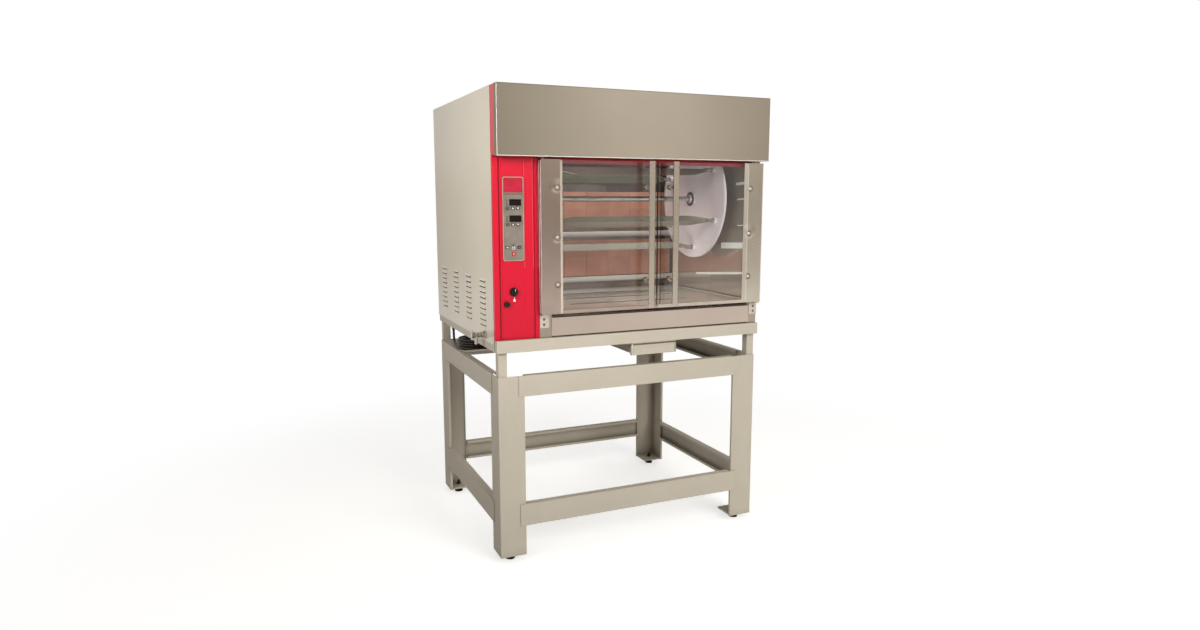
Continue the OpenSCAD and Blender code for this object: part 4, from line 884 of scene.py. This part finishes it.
@dataclass
class Studio:
    """Camera, lamps, sky and floor."""

    camera_place: Place = (-1.5096, -3.5316, 1.5159)
    camera_turn: Triple = (math.pi / 2 - 0.1433, 0.0, -0.4204)
    lens: float = 24.16
    fade: tuple[float, float] = (1.2, 3.0)
    sky: float = 0.25
    floor_reach: float = 30.0

    def camera(self) -> None:
        """Sets the camera where the photograph's straight edges place it."""
        data = bpy.data.cameras.new("camera")
        data.lens = self.lens
        data.sensor_width = 36.0
        eye = add_object("camera", data)
        eye.location = self.camera_place
        eye.rotation_euler = self.camera_turn
        bpy.context.scene.camera = eye

    def lamp(self, name: str, place: Sequence[float], aim: Sequence[float], size: tuple[float, float],
             power: float, spread: float = math.pi, mirrored: bool = False) -> None:
        """Adds a soft rectangular lamp.

        Args:
            name: the lamp's name.
            place: where it hangs.
            aim: the point that it faces.
            size: its width and height in metres.
            power: its strength in watts.
            spread: the angle that its light fans out to.
            mirrored: whether polished metal shows it.
        """
        data = bpy.data.lights.new(name, "AREA")
        data.spread = spread
        data.shape = "RECTANGLE"
        data.size, data.size_y = size
        data.energy = power
        data.color = (1.0, 0.97, 0.92)
        lamp = add_object(name, data)
        lamp.location = place
        lamp.visible_glossy = mirrored
        lamp.visible_camera = False
        lamp.visible_transmission = False
        lamp.rotation_euler = (Vector(aim) - Vector(place)).to_track_quat("-Z", "Y").to_euler()

    def lamps(self) -> None:
        """Hangs a broad front lamp, a side lamp, a top lamp and three small ones in the cavity."""
        self.lamp("front_lamp", (1.1, -5.0, 2.7), (0.1, 0.0, 1.1), (2.4, 2.4), 128)
        self.lamp("side_lamp", (-2.7, -2.2, 2.3), (-0.6, -0.25, 1.5), (0.8, 0.8), 5.4, 0.95)
        self.lamp("top_lamp", (0.0, -0.5, 4.4), (0.0, 0.0, 1.0), (3.0, 3.0), 20, mirrored=True)
        self.lamp("oven_lamp", at(700, 590, 1842), at(700, 690, 1200), (0.9, 0.05), 1.27, 1.7)
        self.lamp("liner_lamp", at(640, 70, 1085), at(1190, 330, 1190), (0.3, 0.05), 0.27, 1.5)
        self.lamp("disc_lamp", at(330, 60, 1760), at(1113, 330, 1400), (0.2, 0.1), 0.22, 1.5)

    def sky_light(self) -> None:
        """Gives an even sky for lighting; the camera and glass see it as white, and metal mirrors bands of
        tone.
        """
        world = bpy.data.worlds.new("sky")
        sheet = clear_sheet(world)
        path = sheet.node("ShaderNodeLightPath")
        direction = sheet.node("ShaderNodeSeparateXYZ",
                               in_0=sheet.node("ShaderNodeTexCoord").outputs["Generated"])
        height = sheet.ramp(sheet.spread(direction.outputs[2], -0.35, 0.6), (0.0, srgb(170, 164, 156)),
                            (1.0, srgb(240, 238, 235)), (0.36, srgb(178, 172, 164)),
                            (0.42, srgb(246, 244, 240)), (0.5, srgb(255, 255, 255)))
        round_about = sheet.ramp(sheet.spread(direction.outputs[0], -1.0), (0.0, srgb(238, 236, 232)),
                                 (1.0, srgb(246, 243, 238)), (0.45, srgb(196, 190, 182)),
                                 (0.62, srgb(150, 142, 132)), (0.73, srgb(250, 246, 240)),
                                 (0.80, srgb(176, 168, 158)))
        mirrored = sheet.mix(1.0, height, round_about, "MULTIPLY")
        even, shiny, white = [
            sheet.glow(colour, strength, "ShaderNodeBackground")
            for colour, strength in (((1.0, 0.985, 0.96, 1.0), self.sky), (mirrored, 1.0), (WHITE, 1.0))
        ]
        first = sheet.blend(path.outputs["Is Glossy Ray"], even, shiny)
        seen = sheet.math("MAXIMUM", path.outputs["Is Camera Ray"], path.outputs["Is Transmission Ray"])
        sheet.node("ShaderNodeOutputWorld", in_0=sheet.blend(seen, first, white))
        bpy.context.scene.world = world

    def floor(self) -> None:
        """Lays a plain white floor that keeps the shadow."""
        mesh = bmesh.new()
        reach = self.floor_reach
        corners = ((-reach, -reach, 0), (reach, -reach, 0), (reach, reach, 0), (-reach, reach, 0))
        mesh.faces.new([mesh.verts.new(corner) for corner in corners])
        data = bpy.data.meshes.new("floor")
        mesh.to_mesh(data)
        mesh.free()
        ground = add_object("floor", data)
        material = bpy.data.materials.new("floor_white")
        sheet = clear_sheet(material)
        path = sheet.node("ShaderNodeLightPath")
        matte = sheet.node("ShaderNodeBsdfDiffuse", in_Color=(0.85, 0.84, 0.82, 1.0)).outputs[0]
        both = sheet.node("ShaderNodeAddShader", in_0=matte, in_1=sheet.glow(WHITE, 0.62)).outputs[0]
        place = sheet.node("ShaderNodeTexCoord").outputs["Object"]
        away = sheet.node("ShaderNodeVectorMath", operation="LENGTH", in_0=place).outputs["Value"]
        far = sheet.spread(away, *self.fade, interpolation_type="SMOOTHSTEP")
        faded = sheet.blend(far, both, sheet.glow(WHITE))
        tone = sheet.ramp(sheet.spread(away, 0.0, 20.0), (0.0, srgb(150, 142, 132)),
                          (1.0, srgb(176, 170, 162)), (0.16, srgb(158, 150, 140)),
                          (0.27, srgb(244, 240, 234)), (0.42, srgb(240, 236, 230)),
                          (0.7, srgb(180, 174, 166)))
        first = sheet.blend(path.outputs["Is Glossy Ray"], matte, sheet.glow(tone))
        seen = sheet.math("MAXIMUM", path.outputs["Is Camera Ray"], path.outputs["Is Transmission Ray"])
        sheet.node("ShaderNodeOutputMaterial", in_0=sheet.blend(seen, first, faded))
        data.materials.append(material)

    def build(self) -> None:
        """Sets up the whole studio."""
        bpy.context.scene.view_settings.view_transform = "Standard"
        self.camera()
        self.sky_light()
        self.lamps()
        self.floor()


@dataclass
class MainsCord:
    """The thick mains cord that is coiled on its shelf, and its plug."""

    diameter: float = 12.0
    coil_x: float = 105.0
    coil_y: float = 700.0
    coil_r: float = 83.0
    pitch: float = 12.6
    low_z: float = 807.3
    layers: int = 4
    turns: float = 11.5
    down: tuple[Place, ...] = ((40, 860, 868), (40, 860, 857), (40, 858, 844), (39, 853, 832),
                               (38, 845, 822), (37, 835, 814), (35, 823, 809), (34, 810, 807.3),
                               (31, 790, 807.3), (28, 770, 807.3), (25, 750, 807.3), (22, 735, 807.3),
                               (22, 722, 807.3), (22, 712.3, 807.3))
    tail: tuple[Place, ...] = (
        (188, 712.3, 845.1), (188, 715, 845.1), (188, 726, 843.1), (188, 738, 838.1), (188, 751, 831.1),
        (188, 762, 826.1), (188, 772, 823.3), (188, 783.7, 823.3))

    def coil_point(self, t: float) -> Place:
        """Gives the coil's middle line after t turns.

        Args:
            t: turns from the coil's start.

        Returns:
            The point in datum millimetres.
        """
        span = self.turns / self.layers
        layer = min(self.layers - 1, int(t / span))
        u = t - layer * span
        radius = self.coil_r - self.pitch * (u if layer % 2 == 0 else span - u)
        height = self.low_z
        for k in range(1, self.layers):
            part = min(1.0, max(0.0, (t - k * span) * 2 + 0.5))
            height += self.pitch * (1 - math.cos(math.pi * part)) / 2
        angle = math.pi + 2 * math.pi * t
        return (self.coil_x + radius * math.cos(angle), self.coil_y + radius * math.sin(angle), height)

    def line(self) -> list[Vector]:
        """Returns the whole route from the gland to the plug, in row metres."""
        per_turn = 30
        steps = int(self.turns * per_turn)
        coil = [self.coil_point(i / per_turn) for i in range(steps + 1)]
        return [at(*point) for point in (*self.down, *coil, *self.tail)]

    def build(self) -> None:
        """Makes the cord as one curve, and dresses the plug and the gland."""
        points = self.line()
        data = bpy.data.curves.new("mains_cord", "CURVE")
        data.dimensions = "3D"
        data.bevel_depth = self.diameter / 2 * MM
        data.bevel_resolution = 3
        data.use_fill_caps = True
        spline = data.splines.new("POLY")
        spline.points.add(len(points) - 1)
        for point, place in zip(spline.points, points):
            point.co = (*place, 1.0)
        spline.use_smooth = True
        data.materials.append(CORD_RUBBER.material())
        cord = add_object("mains_cord", data)
        plug = dress(PLUG_PLASTIC, "power_plug")
        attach(cord, "cabinet")
        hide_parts("power_cord", "cord_coil")
        dress(BLACK_PLASTIC, "cord_gland")


@dataclass
class Stand:
    """Legs, rails, feet, base frame and the cord's shelf."""

    def build(self) -> None:
        """Dresses the stand's nodes."""
        dress(STAND_PAINT, "legs", "top_rails", "lower_rails", "base_frame", "cord_tray")
        dress(FOOT_PLASTIC, "levelling_feet")


@dataclass
class Housing:
    """The cabinet's outer sheets, the hood fascia and the frame behind the doors."""

    screw: Repeated = Repeated("sheet_screws", SCREW_STEEL, "front_steel",
                               partial(dome_head, radius=0.0045, height=0.0012, recess=0.0016))
    # a dark strip under each louvre's lip is painted shadow, and a pale strip below it a painted highlight
    lip_shadow: Repeated = Repeated("louvre_gaps", LOUVRE_SHADOW_PAINT, "cream_paint",
                                  partial(add_box, low=Vector((-0.042, -0.0094, 0.0)),
                                          high=Vector((0.042, -0.0020, 0.0002))))
    lip_highlight: Repeated = Repeated("louvre_lips", PALE_HIGHLIGHT_PAINT, "cream_paint",
                                  partial(add_box, low=Vector((-0.042, -0.0112, 0.0)),
                                          high=Vector((0.042, -0.0094, 0.0008))))
    plate_hole: Repeated = Repeated("hinge_screws", SCREW_DARK_AND_SHADE, "front_steel",
                                    partial(hex_head, radius=0.0040, height=0.0012))
    louvre_first: tuple[float, float] = (174.0, 999.0)
    louvre_step: tuple[float, float] = (224.667, 23.0)
    back_y: float = 996.5

    def build(self) -> None:
        """Dresses the sheets, paints shade and highlight at their louvres and sets their screws."""
        dress(PANEL_PAINT, "side_panel_left", "side_panel_right", "back_panel", "top_panel")
        dress(FASCIA_STEEL, "hood_fascia")
        dress(POST_STEEL, "front_posts")
        (y0, z0), (step_y, step_z) = self.louvre_first, self.louvre_step
        louvres = [Spot(at(0, y0 + column * step_y, z0 + row * step_z), TO_LEFT)
                   for column in range(4) for row in range(9)]
        self.lip_shadow.spread(louvres, "cabinet")
        self.lip_highlight.spread(louvres, "cabinet")
        self.edges()
        plates = [Spot(at(x, -2.0, z), TO_FRONT, 0.3) for x in (207, 1229) for z in (1005, 1027)]
        self.plate_hole.spread(plates, "cabinet")
        caps = [(x, y + 2.9, 902.9, x + 0.8, y + 57.1, 947.1) for y in (-14.0, 926.0) for x in (2.2, 1247.0)]
        Piece("tube_caps", STAND_PAINT, slot="cream_paint").boxes(*caps)
        dress(BRACKET_STEEL, "hinge_brackets")
        dress(LEDGE_STEEL, "runners")
        back = [(x, z) for x in (20, 330, 640, 950, 1230) for z in (1940, 962)]
        back += [(x, z) for x in (24, 1226) for z in (1200, 1450, 1700)]
        self.screw.spread([Spot(at(x, self.back_y, z), TO_BACK) for x, z in back], "cabinet", "_back")

    def edges(self) -> None:
        """Adds painted highlights along the fascia's left and bottom edges, painted shade on its left return
        and along its top edge, and a painted highlight along the panel's front edge.
        """
        # painted highlight on the fascia's left and bottom edges
        Piece("fascia_edges", EDGE_HIGHLIGHT).boxes((0.2, -62.4, 1680, 2.6, -61.5, 1950),
                                               (2.6, -62.4, 1680, 1249, -61.5, 1682.4))
        # painted shade on the fascia's left return and along its top edge
        Piece("fascia_return", RETURN_SHADE_STEEL).boxes((-0.35, -59, 1681, 0.2, -30.2, 1951),
                                                   (0.2, -62.3, 1950, 1249.8, -61.5, 1951.7))
        # painted highlight along the side panel's front edge
        Piece("panel_front_edge", PALE_HIGHLIGHT_PAINT, slot="cream_paint").boxes((-0.4, 24.2, 905, 0.2, 28.5, 1950))


@dataclass
class ControlColumn:
    """The red column with its key plate, knob and push button."""

    face_y: float = 4.0
    plate: Sides = (40.0, 1270.0, 127.0, 1602.0)
    key_x: Triple = (59.5, 82.0, 103.5)
    key_rows: tuple[float, float] = (1478.6, 1414.7)
    low_x: Triple = (57.0, 82.0, 106.5)
    low_z: float = 1324.0
    display_rows: tuple[float, float] = (1489.6, 1425.7)

    def depth(self, front: float, back: float = 0.2) -> tuple[float, float]:
        """Returns the front and back Y of a layer, from its distances behind the column's face."""
        return (self.face_y + front, self.face_y + back)

    def membrane(self) -> None:
        """Lays the printed fields on the key plate."""
        x0, _, x1, z1 = self.plate
        y = self.depth(-0.5)
        mark = partial(Piece, slot="control_membrane")
        mark("plate_border", MEMBRANE_EDGE).band(y, inset(self.plate, 0.3), inset(self.plate, 2.8), (7.6, 6))
        mark("plate_line", MARK_OLIVE).band(y, inset(self.plate, 2.8), inset(self.plate, 4), (6, 5))
        mark("plate_bare_field", MEMBRANE_RED).plates(self.depth(-0.3),
                                                      rounded(x0 + 4, 1541, x1 - 4, z1 - 4, 4))
        mark("plate_strip", MARK_OLIVE).plates(y, *(oblong(x0 + 4, z, x1 - 4, z + 2) for z in (1532, 1537)))
        for index, z in enumerate(self.display_rows, 1):
            window = (68.3, z + 0.3, 115.7, z + 23.7)
            mark(f"display_{index}", DISPLAY).plates(self.depth(0.1, 0.7), rounded(*window, 2))
            rim = (66.6, z - 1.4, 117.4, z + 25.4)
            mark(f"display_rim_{index}", MARK_DARK).band(self.depth(-0.35), rim, window, (3, 2))
        lamps = [oblong(54, z + up, 60.5, z + up + 3.2) for z in self.display_rows
                 for up in (0, 6.5, 13, 19.5)]
        mark("lamp_marks", MARK_DARK).plates(self.depth(-0.3), *lamps)
        mark("start_field_red", MEMBRANE_RED).plates(self.depth(-0.4),
                                                     rounded(75.4, 1289.4, 91.6, 1305.6, 2.6))
        mark("start_field_bar", MARK_WHITE).plates(self.depth(-0.6, 0.1),
                                                   rounded(82.1, 1293.2, 84.7, 1302, 1.2))

    def ring(self, name: str, finish: Finish, key: str, *line: Sequence[float], front: float = -1.0) -> None:
        """Prints a closed line on a key's cap.

        Args:
            name: the piece's name.
            finish: its finish.
            key: the key that it rides on.
            line: its outer sides, its inner sides and the corner radii of both.
            front: how far behind the column's face its front lies.
        """
        Piece(name, finish, key, "control_membrane").band(self.depth(front, -0.5), *line)

    def symbol(self, name: str, finish: Finish, key: str, outline: Outline) -> None:
        """Prints one mark on a key's cap."""
        Piece(name, finish, key, "key_plastic").plates(self.depth(-1.0, -0.5), outline)

    def key_rim(self, key: str, x: float, z: float) -> None:
        """Prints a dark line round one key's cap."""
        outer, inner = around(x, z, 7.3, 6.2), around(x, z, 5.1, 4.2)
        self.ring(f"rim_{key}", MARK_DARK, key, outer, inner, (2.4, 1.0), front=-0.95)

    def key_symbols(self) -> None:
        """Puts the white arrows and dark symbols on the keys, each riding on its key."""
        for row, z in enumerate(self.key_rows, 1):
            x, up, down = self.key_x
            keys = [f"key_{row * 3 + column}" for column in (-2, -1, 0)]
            self.symbol(f"dash_{row}", MARK_DARK, keys[0], rounded(*around(x, z, 4, 1.1), 0.9))
            self.symbol(f"arrow_up_{row}", MARK_WHITE, keys[1],
                        [(up + 4.6, z - 3.2), (up, z + 4.4), (up - 4.6, z - 3.2)])
            self.symbol(f"arrow_down_{row}", MARK_WHITE, keys[2],
                        [(down, z - 4.4), (down + 4.6, z + 3.2), (down - 4.6, z + 3.2)])
            for key, middle in zip(keys, self.key_x):
                self.key_rim(key, middle, z)
        left, middle, right = self.low_x
        z = self.low_z
        self.key_rim("key_7", left, z)
        self.key_rim("key_9", right, z)
        self.symbol("arrow_left", MARK_WHITE, "key_7",
                    [(left + 3.2, z + 4.2), (left - 4.4, z), (left + 3.2, z - 4.2)])
        self.ring("flame_ring", MARK_WHITE, "key_8", around(middle, z - 2.5, 5.5, 6.5),
                  around(middle, z - 2.5, 3.8, 4.8), (5, 3.4))
        self.symbol("flame_stem", MARK_DARK, "key_8",
                    rounded(middle - 2.2, z + 5.5, middle + 2.2, z + 10, 1.5))
        self.ring("right_ring", MARK_DARK, "key_9", around(right, z, 4.6, 4.6), around(right, z, 3, 3),
                  (4.4, 2.9))

    def build(self) -> None:
        """Dresses the column and adds painted shade in its fold valleys, painted highlights on its fold
        crests and all its printed parts.
        """
        dress(RED_PAINT, "control_column")
        # the cross rail takes the darker red copy, painted shade under the fascia
        dress(RED_RAIL_SHADED, "cross_rail")
        # painted shade along the fold valleys, painted highlight along the crests
        valleys = ((24.3, 28.5, 9.0), (167.4, 170.0, 5.0))
        crests = ((128.6, 130.0, 3.9), (164.2, 165.2, 3.0), (185.4, 186.8, 2.0))
        for name, finish, low_z, folds in (("valleys", PAINTED_FOLD_SHADE, 952, valleys),
                                           ("crests", PAINTED_FOLD_HIGHLIGHT, 1240, crests)):
            lines = [(x0, y - 0.3, low_z, x1, y, 1671) for x0, x1, y in folds]
            Piece("column_" + name, finish, slot="red_paint").boxes(*lines)
        dress(MEMBRANE, "control_plate")
        dress(KEY_PLASTIC, *(f"key_{index}" for index in range(1, 10)))
        dress(BLACK_PLASTIC, "selector_knob", "push_button")
        self.membrane()
        self.key_symbols()
        pointer = Piece("knob_pointer", MARK_WHITE, "selector_knob", "black_plastic")
        pointer.plates((-13.1, -12.4), rounded(81.2, 1148, 82.8, 1158.6, 0.7))
        triangle = Piece("knob_triangle", MARK_WHITE, slot="red_paint")
        triangle.plates((6.2, 6.7), [(78, 1106), (90, 1106), (84, 1123)])


@dataclass
class Doors:
    """Two glass doors, each with one steel stile and a bar handle."""

    x_left: float = 189.0
    x_right: float = 1247.0
    boss_in: float = 69.0
    front_y: float = -30.0
    boss_z: Triple = (1169.0, 1361.0, 1560.0)
    # a dark ring under each stile cap, a washer darkened to paint the cap's shadow
    ring: Repeated = Repeated("stile_washers", SCREW_DARK_AND_SHADE, "front_steel",
                              partial(hex_head, radius=0.0096, height=0.0005))
    cap: Repeated = Repeated("stile_caps", SCREW_STEEL, "front_steel",
                             partial(dome_head, radius=0.0085, height=0.0062, recess=0.0024))

    def build(self) -> None:
        """Dresses both doors and adds their screws with dark rings that paint the caps' shadow, painted
        highlight and shade on their edges, dark lines along the glass edges and painted highlight and shade
        on the handles.
        """
        for side, x, stile in (("left", self.x_left + self.boss_in, STILE_LEFT_SHADED),
                               ("right", self.x_right - self.boss_in, STILE_RIGHT_LIT)):
            body = f"door_{side}"
            dress(stile, f"{body}_frame")
            dress(DOOR_GLASS, f"{body}_glass")
            dress(HANDLE_STEEL, f"{body}_handle")
            spots = [Spot(at(x, self.front_y, z), TO_FRONT, 0.4 * index)
                     for index, z in enumerate(self.boss_z)]
            self.cap.spread(spots, body, f"_{side}")
            self.ring.spread(spots, body, f"_{side}")
        self.stile_edges()
        # dark lines along the glass edges
        for side, x in (("left", 715.4), ("right", 733.0)):
            glass_line = Piece(f"glass_seal_{side}", EDGE_DARK, f"door_{side}")
            glass_line.boxes((x - 1.5, -22.6, 1056, x + 1.5, -22, 1668))
        for side, x in (("left", 661.0), ("right", 775.0)):
            self.handle_edges(side, x)

    def stile_edges(self) -> None:
        """Paints highlight and shade lines on the left stile's outer fold, a highlight on its lip and
        highlight lines along the right stile's folds.
        """
        x, front = self.x_left, self.front_y
        # painted highlight and shade lines on the left door's outer fold
        pale = [(x - 0.35, y0, 1054, x, y1, 1668) for y0, y1 in ((-29.6, -20.0), (-11, -3))]
        Piece("edge_pale", EDGE_HIGHLIGHT, "door_left").boxes(*pale)
        Piece("edge_dark", EDGE_DARK, "door_left").boxes((x - 0.30, -20.0, 1054, x, -11, 1668))
        # painted highlight on the left stile's lip
        across, out = Vector((0.012, 0.0068, 0)), Vector((-0.0002, 0.0003, 0))
        low, high = at(270.6, -29.9, 1052), at(270.6, -29.9, 1669)
        Piece("stile_lip", LIP_HIGHLIGHT_STEEL, "door_left").bars((low, high, across, out))
        # painted highlight lines along the right stile's folds
        lines = [(x0, front - 0.2, 1054, x1, front, 1668) for x0, x1 in ((1166.6, 1169.8), (1243.6, 1246.4))]
        Piece("stile_lines", LIP_HIGHLIGHT_STEEL, "door_right").boxes(*lines)

    def handle_edges(self, side: str, x: float) -> None:
        """Paints a highlight along one edge of a handle bar and shade along the other, and puts a collar on
        each standoff.

        Args:
            side: the door's side.
            x: the bar's middle in datum millimetres.
        """
        body = f"door_{side}"
        # painted highlight on the bar's left edge and painted shade on its right edge
        Piece(f"bar_light_{side}", BAR_HIGHLIGHT_STEEL, body).boxes((x - 12.85, -81.7, 1062, x - 12.4, -74.3, 1658))
        Piece(f"bar_shade_{side}", SCREW_DARK_AND_SHADE, body).boxes((x + 11.0, -81.96, 1062, x + 12.6, -80.6, 1658))
        for name, finish, y, profile in (("collars", SCREW_STEEL, -25, sleeve(0.0082, 0.0100, 0.012)),
                                         ("rings", HUB_STEEL, -24, sleeve(0.0082, 0.0122, 0.0006))):
            spots = [Spot(at(x, y, z), TO_FRONT) for z in (1173, 1564)]
            Piece(f"standoff_{name}_{side}", finish, body).rings(profile, spots, 32)


@dataclass
class Cavity:
    """The steel lining, the clay tiles and the burner tubes with their ports."""

    # dark studs painted as the shade of the port holes
    port: Repeated = Repeated("burner_ports", PORT_SHADE, "liner_steel",
                              partial(hex_head, radius=0.0012, height=0.0006))
    tube_y: float = 692.0
    tube_radius: float = 13.0
    tube_z: tuple[float, float] = (1110.0, 1338.0)
    port_aim: Triple = (0.0, -0.8, 0.6)
    port_first: float = 222.0
    port_pitch: float = 10.8
    ports: int = 90
    wall_x: float = 1199.8

    def build(self) -> None:
        """Dresses the lining, sets dark studs that paint the burner ports' shade, lays the seams and raises
        thin bands on the right wall whose white is a painted reflection.
        """
        dress(LINER_STEEL, "cavity_left_wall", "cavity_right_wall", "cavity_ceiling")
        dress(FLOOR_STEEL, "cavity_floor")
        dress(BACK_STEEL, "cavity_back_wall")
        dress(CLAY, "refractory_tiles")
        dress(TUBE_STEEL, "burner_tubes")
        _, ahead, up = self.port_aim
        y = self.tube_y + self.tube_radius * ahead
        places = [at(self.port_first + index * self.port_pitch, y, z + self.tube_radius * up)
                  for z in self.tube_z for index in range(self.ports)]
        self.port.spread([Spot(place, Vector(self.port_aim)) for place in places], "cabinet")
        seams = Piece("floor_seams", HUB_STEEL, slot="liner_steel")
        seams.boxes((200.6, 8, 1062.2, 203.0, 737, 1065), (1192.0, 8, 1062.2, 1199.4, 737, 1065),
                    (1198.4, 40, 1388, 1199.8, 262, 1391.5))
        # thin raised bands on the right wall, white as a painted reflection
        out, tall, x = Vector((-0.0014, 0, 0)), Vector((0, 0, 0.001)), self.wall_x
        reflection_bands = [(at(x, 34, z), at(x, y1, z - (y1 - 34) * 0.05), tall * height, out)
                 for y1, z, height in ((117, 1581, 13), (104, 1513, 6), (100, 1393.5, 5), (232, 1290, 28))]
        reflection_bands.append((at(x, 20, 1173), at(x, 460, 1137), tall * 10, out))
        Piece("wall_beads", REFLECTION_BAND_WHITE, slot="liner_steel").bars(*reflection_bands)


@dataclass
class Rotor:
    """The shaft, the two discs and the six geared spits, with the drive behind the left wall."""

    hub_bolt: Repeated = Repeated("hub_bolts", SCREW_STEEL, "polished_steel",
                                  partial(hex_head, radius=0.0042, height=0.0036))
    middle_y: float = 360.0
    middle_z: float = 1515.0
    hub_faces: tuple[tuple[float, int], ...] = ((301.0, 1), (1099.0, -1))
    bolt_circle: float = 21.0
    rim_back: float = 10.5

    def spots(self, back: float = 0.0, up: float = 0.0, aside: float = 0.0) -> list[Spot]:
        """Returns a place on each hub's inner face, behind, above and beside its middle in millimetres."""
        return [Spot(at(x - way * back, self.middle_y + aside, self.middle_z + up), Vector((way, 0, 0)))
                for x, way in self.hub_faces]

    def build(self) -> None:
        """Dresses the rotor and its drive, and adds bolts, collars and a white ring near each disc's edge, a
        painted highlight.
        """
        dress(SHAFT_STEEL, "rotor_shaft")
        dress(DISC_STEEL, "rotor_discs")
        dress(SPIT_STEEL, *(f"spit_{index}" for index in range(1, 7)))
        dress(GEAR_STEEL, "sun_gear", "shaft_bearings")
        dress(MOTOR_PAINT, "gearmotor")
        angles = [math.radians(45 + 90 * index) for index in range(4)]
        reach = self.bolt_circle
        bolts = [spot for a in angles
                 for spot in self.spots(up=reach * math.sin(a), aside=reach * math.cos(a))]
        self.hub_bolt.spread(bolts, "rotor")
        rings = [(0.003, 0.0130), (0.003, 0.019), (0.009, 0.0175), (0.009, 0.0130)]
        rims = [(0, 0.2795), (0.0008, 0.2795), (0.0008, 0.2818), (0, 0.2818)]
        part = partial(Piece, body="rotor", slot="polished_steel")
        part("hub_collars", HUB_STEEL).rings(sleeve(0.0130, 0.034, 0.003), self.spots(), 48)
        part("hub_rings", SCREW_STEEL).rings(rings, self.spots(), 48)
        # a white ring near each disc's edge: painted highlight
        part("disc_rims", RIM_HIGHLIGHT).rings(rims, self.spots(self.rim_back), 96)


@dataclass
class PanAndTray:
    """The wide drip pan under the doors and the small tray under the base frame."""

    def build(self) -> None:
        """Dresses both and draws their painted shade lines and a painted highlight on the tray's rim."""
        dress(PAN_STEEL, "drip_pan")
        dress(STAND_PAINT, "drip_tray")
        # painted shadow along the pan's top
        Piece("pan_shade", EDGE_DARK, "drip_pan").boxes((243, -0.3, 1031.0, 1204, 0.1, 1035.0))
        lines = ((612, 826, 887.5, 894.5), (613, 615, 846, 887.5), (819, 820.6, 848, 884),
                 (825.6, 827.6, 846, 887.5))
        shade_line = Piece("tray_shade", SCREW_DARK_AND_SHADE, "drip_tray", "cream_paint")
        shade_line.boxes(*((x0, -0.4, z0, x1, 0.1, z1) for x0, x1, z0, z1 in lines))
        # painted highlight on the tray's rim
        rim = Piece("tray_rim", PALE_HIGHLIGHT_PAINT, "drip_tray", "cream_paint")
        rim.boxes((608.5, -0.5, 894.5, 827.5, 0.1, 896.8), (608.5, -0.5, 845, 613, 0.1, 894.5))


@dataclass
class DrainTap:
    """The nickel tap at the lower left."""

    bore_y: float = 137.0
    bore_z: float = 958.0

    def build(self) -> None:
        """Dresses the tap and its handle, and turns their grooves and ribs."""
        dress(NICKEL, "drain_tap", "tap_handle")
        for name, body, places, profile in (
                ("tap_grooves", "cabinet", (-13.0, -22.0, -34.0), sleeve(0.0096, 0.0104, 0.0022)),
                ("tap_ribs", "tap_handle", (-49.0, -53.0, -57.0), sleeve(0.0116, 0.0124, 0.0018))):
            spots = [Spot(at(x, self.bore_y, self.bore_z), TO_LEFT) for x in places]
            Piece(name, HUB_STEEL, body, "nickel").rings(profile, spots, 32)


def main() -> None:
    """Builds the studio, the cord and every sub-assembly in order."""
    logging.basicConfig(level=logging.INFO, format="%(message)s")
    for part in (Studio(), MainsCord(), Stand(), Housing(), ControlColumn(), Doors(), Cavity(), Rotor(),
                 PanAndTray(), DrainTap()):
        log.info("building %s", type(part).__name__)
        part.build()


if __name__ == "__main__":
    main()
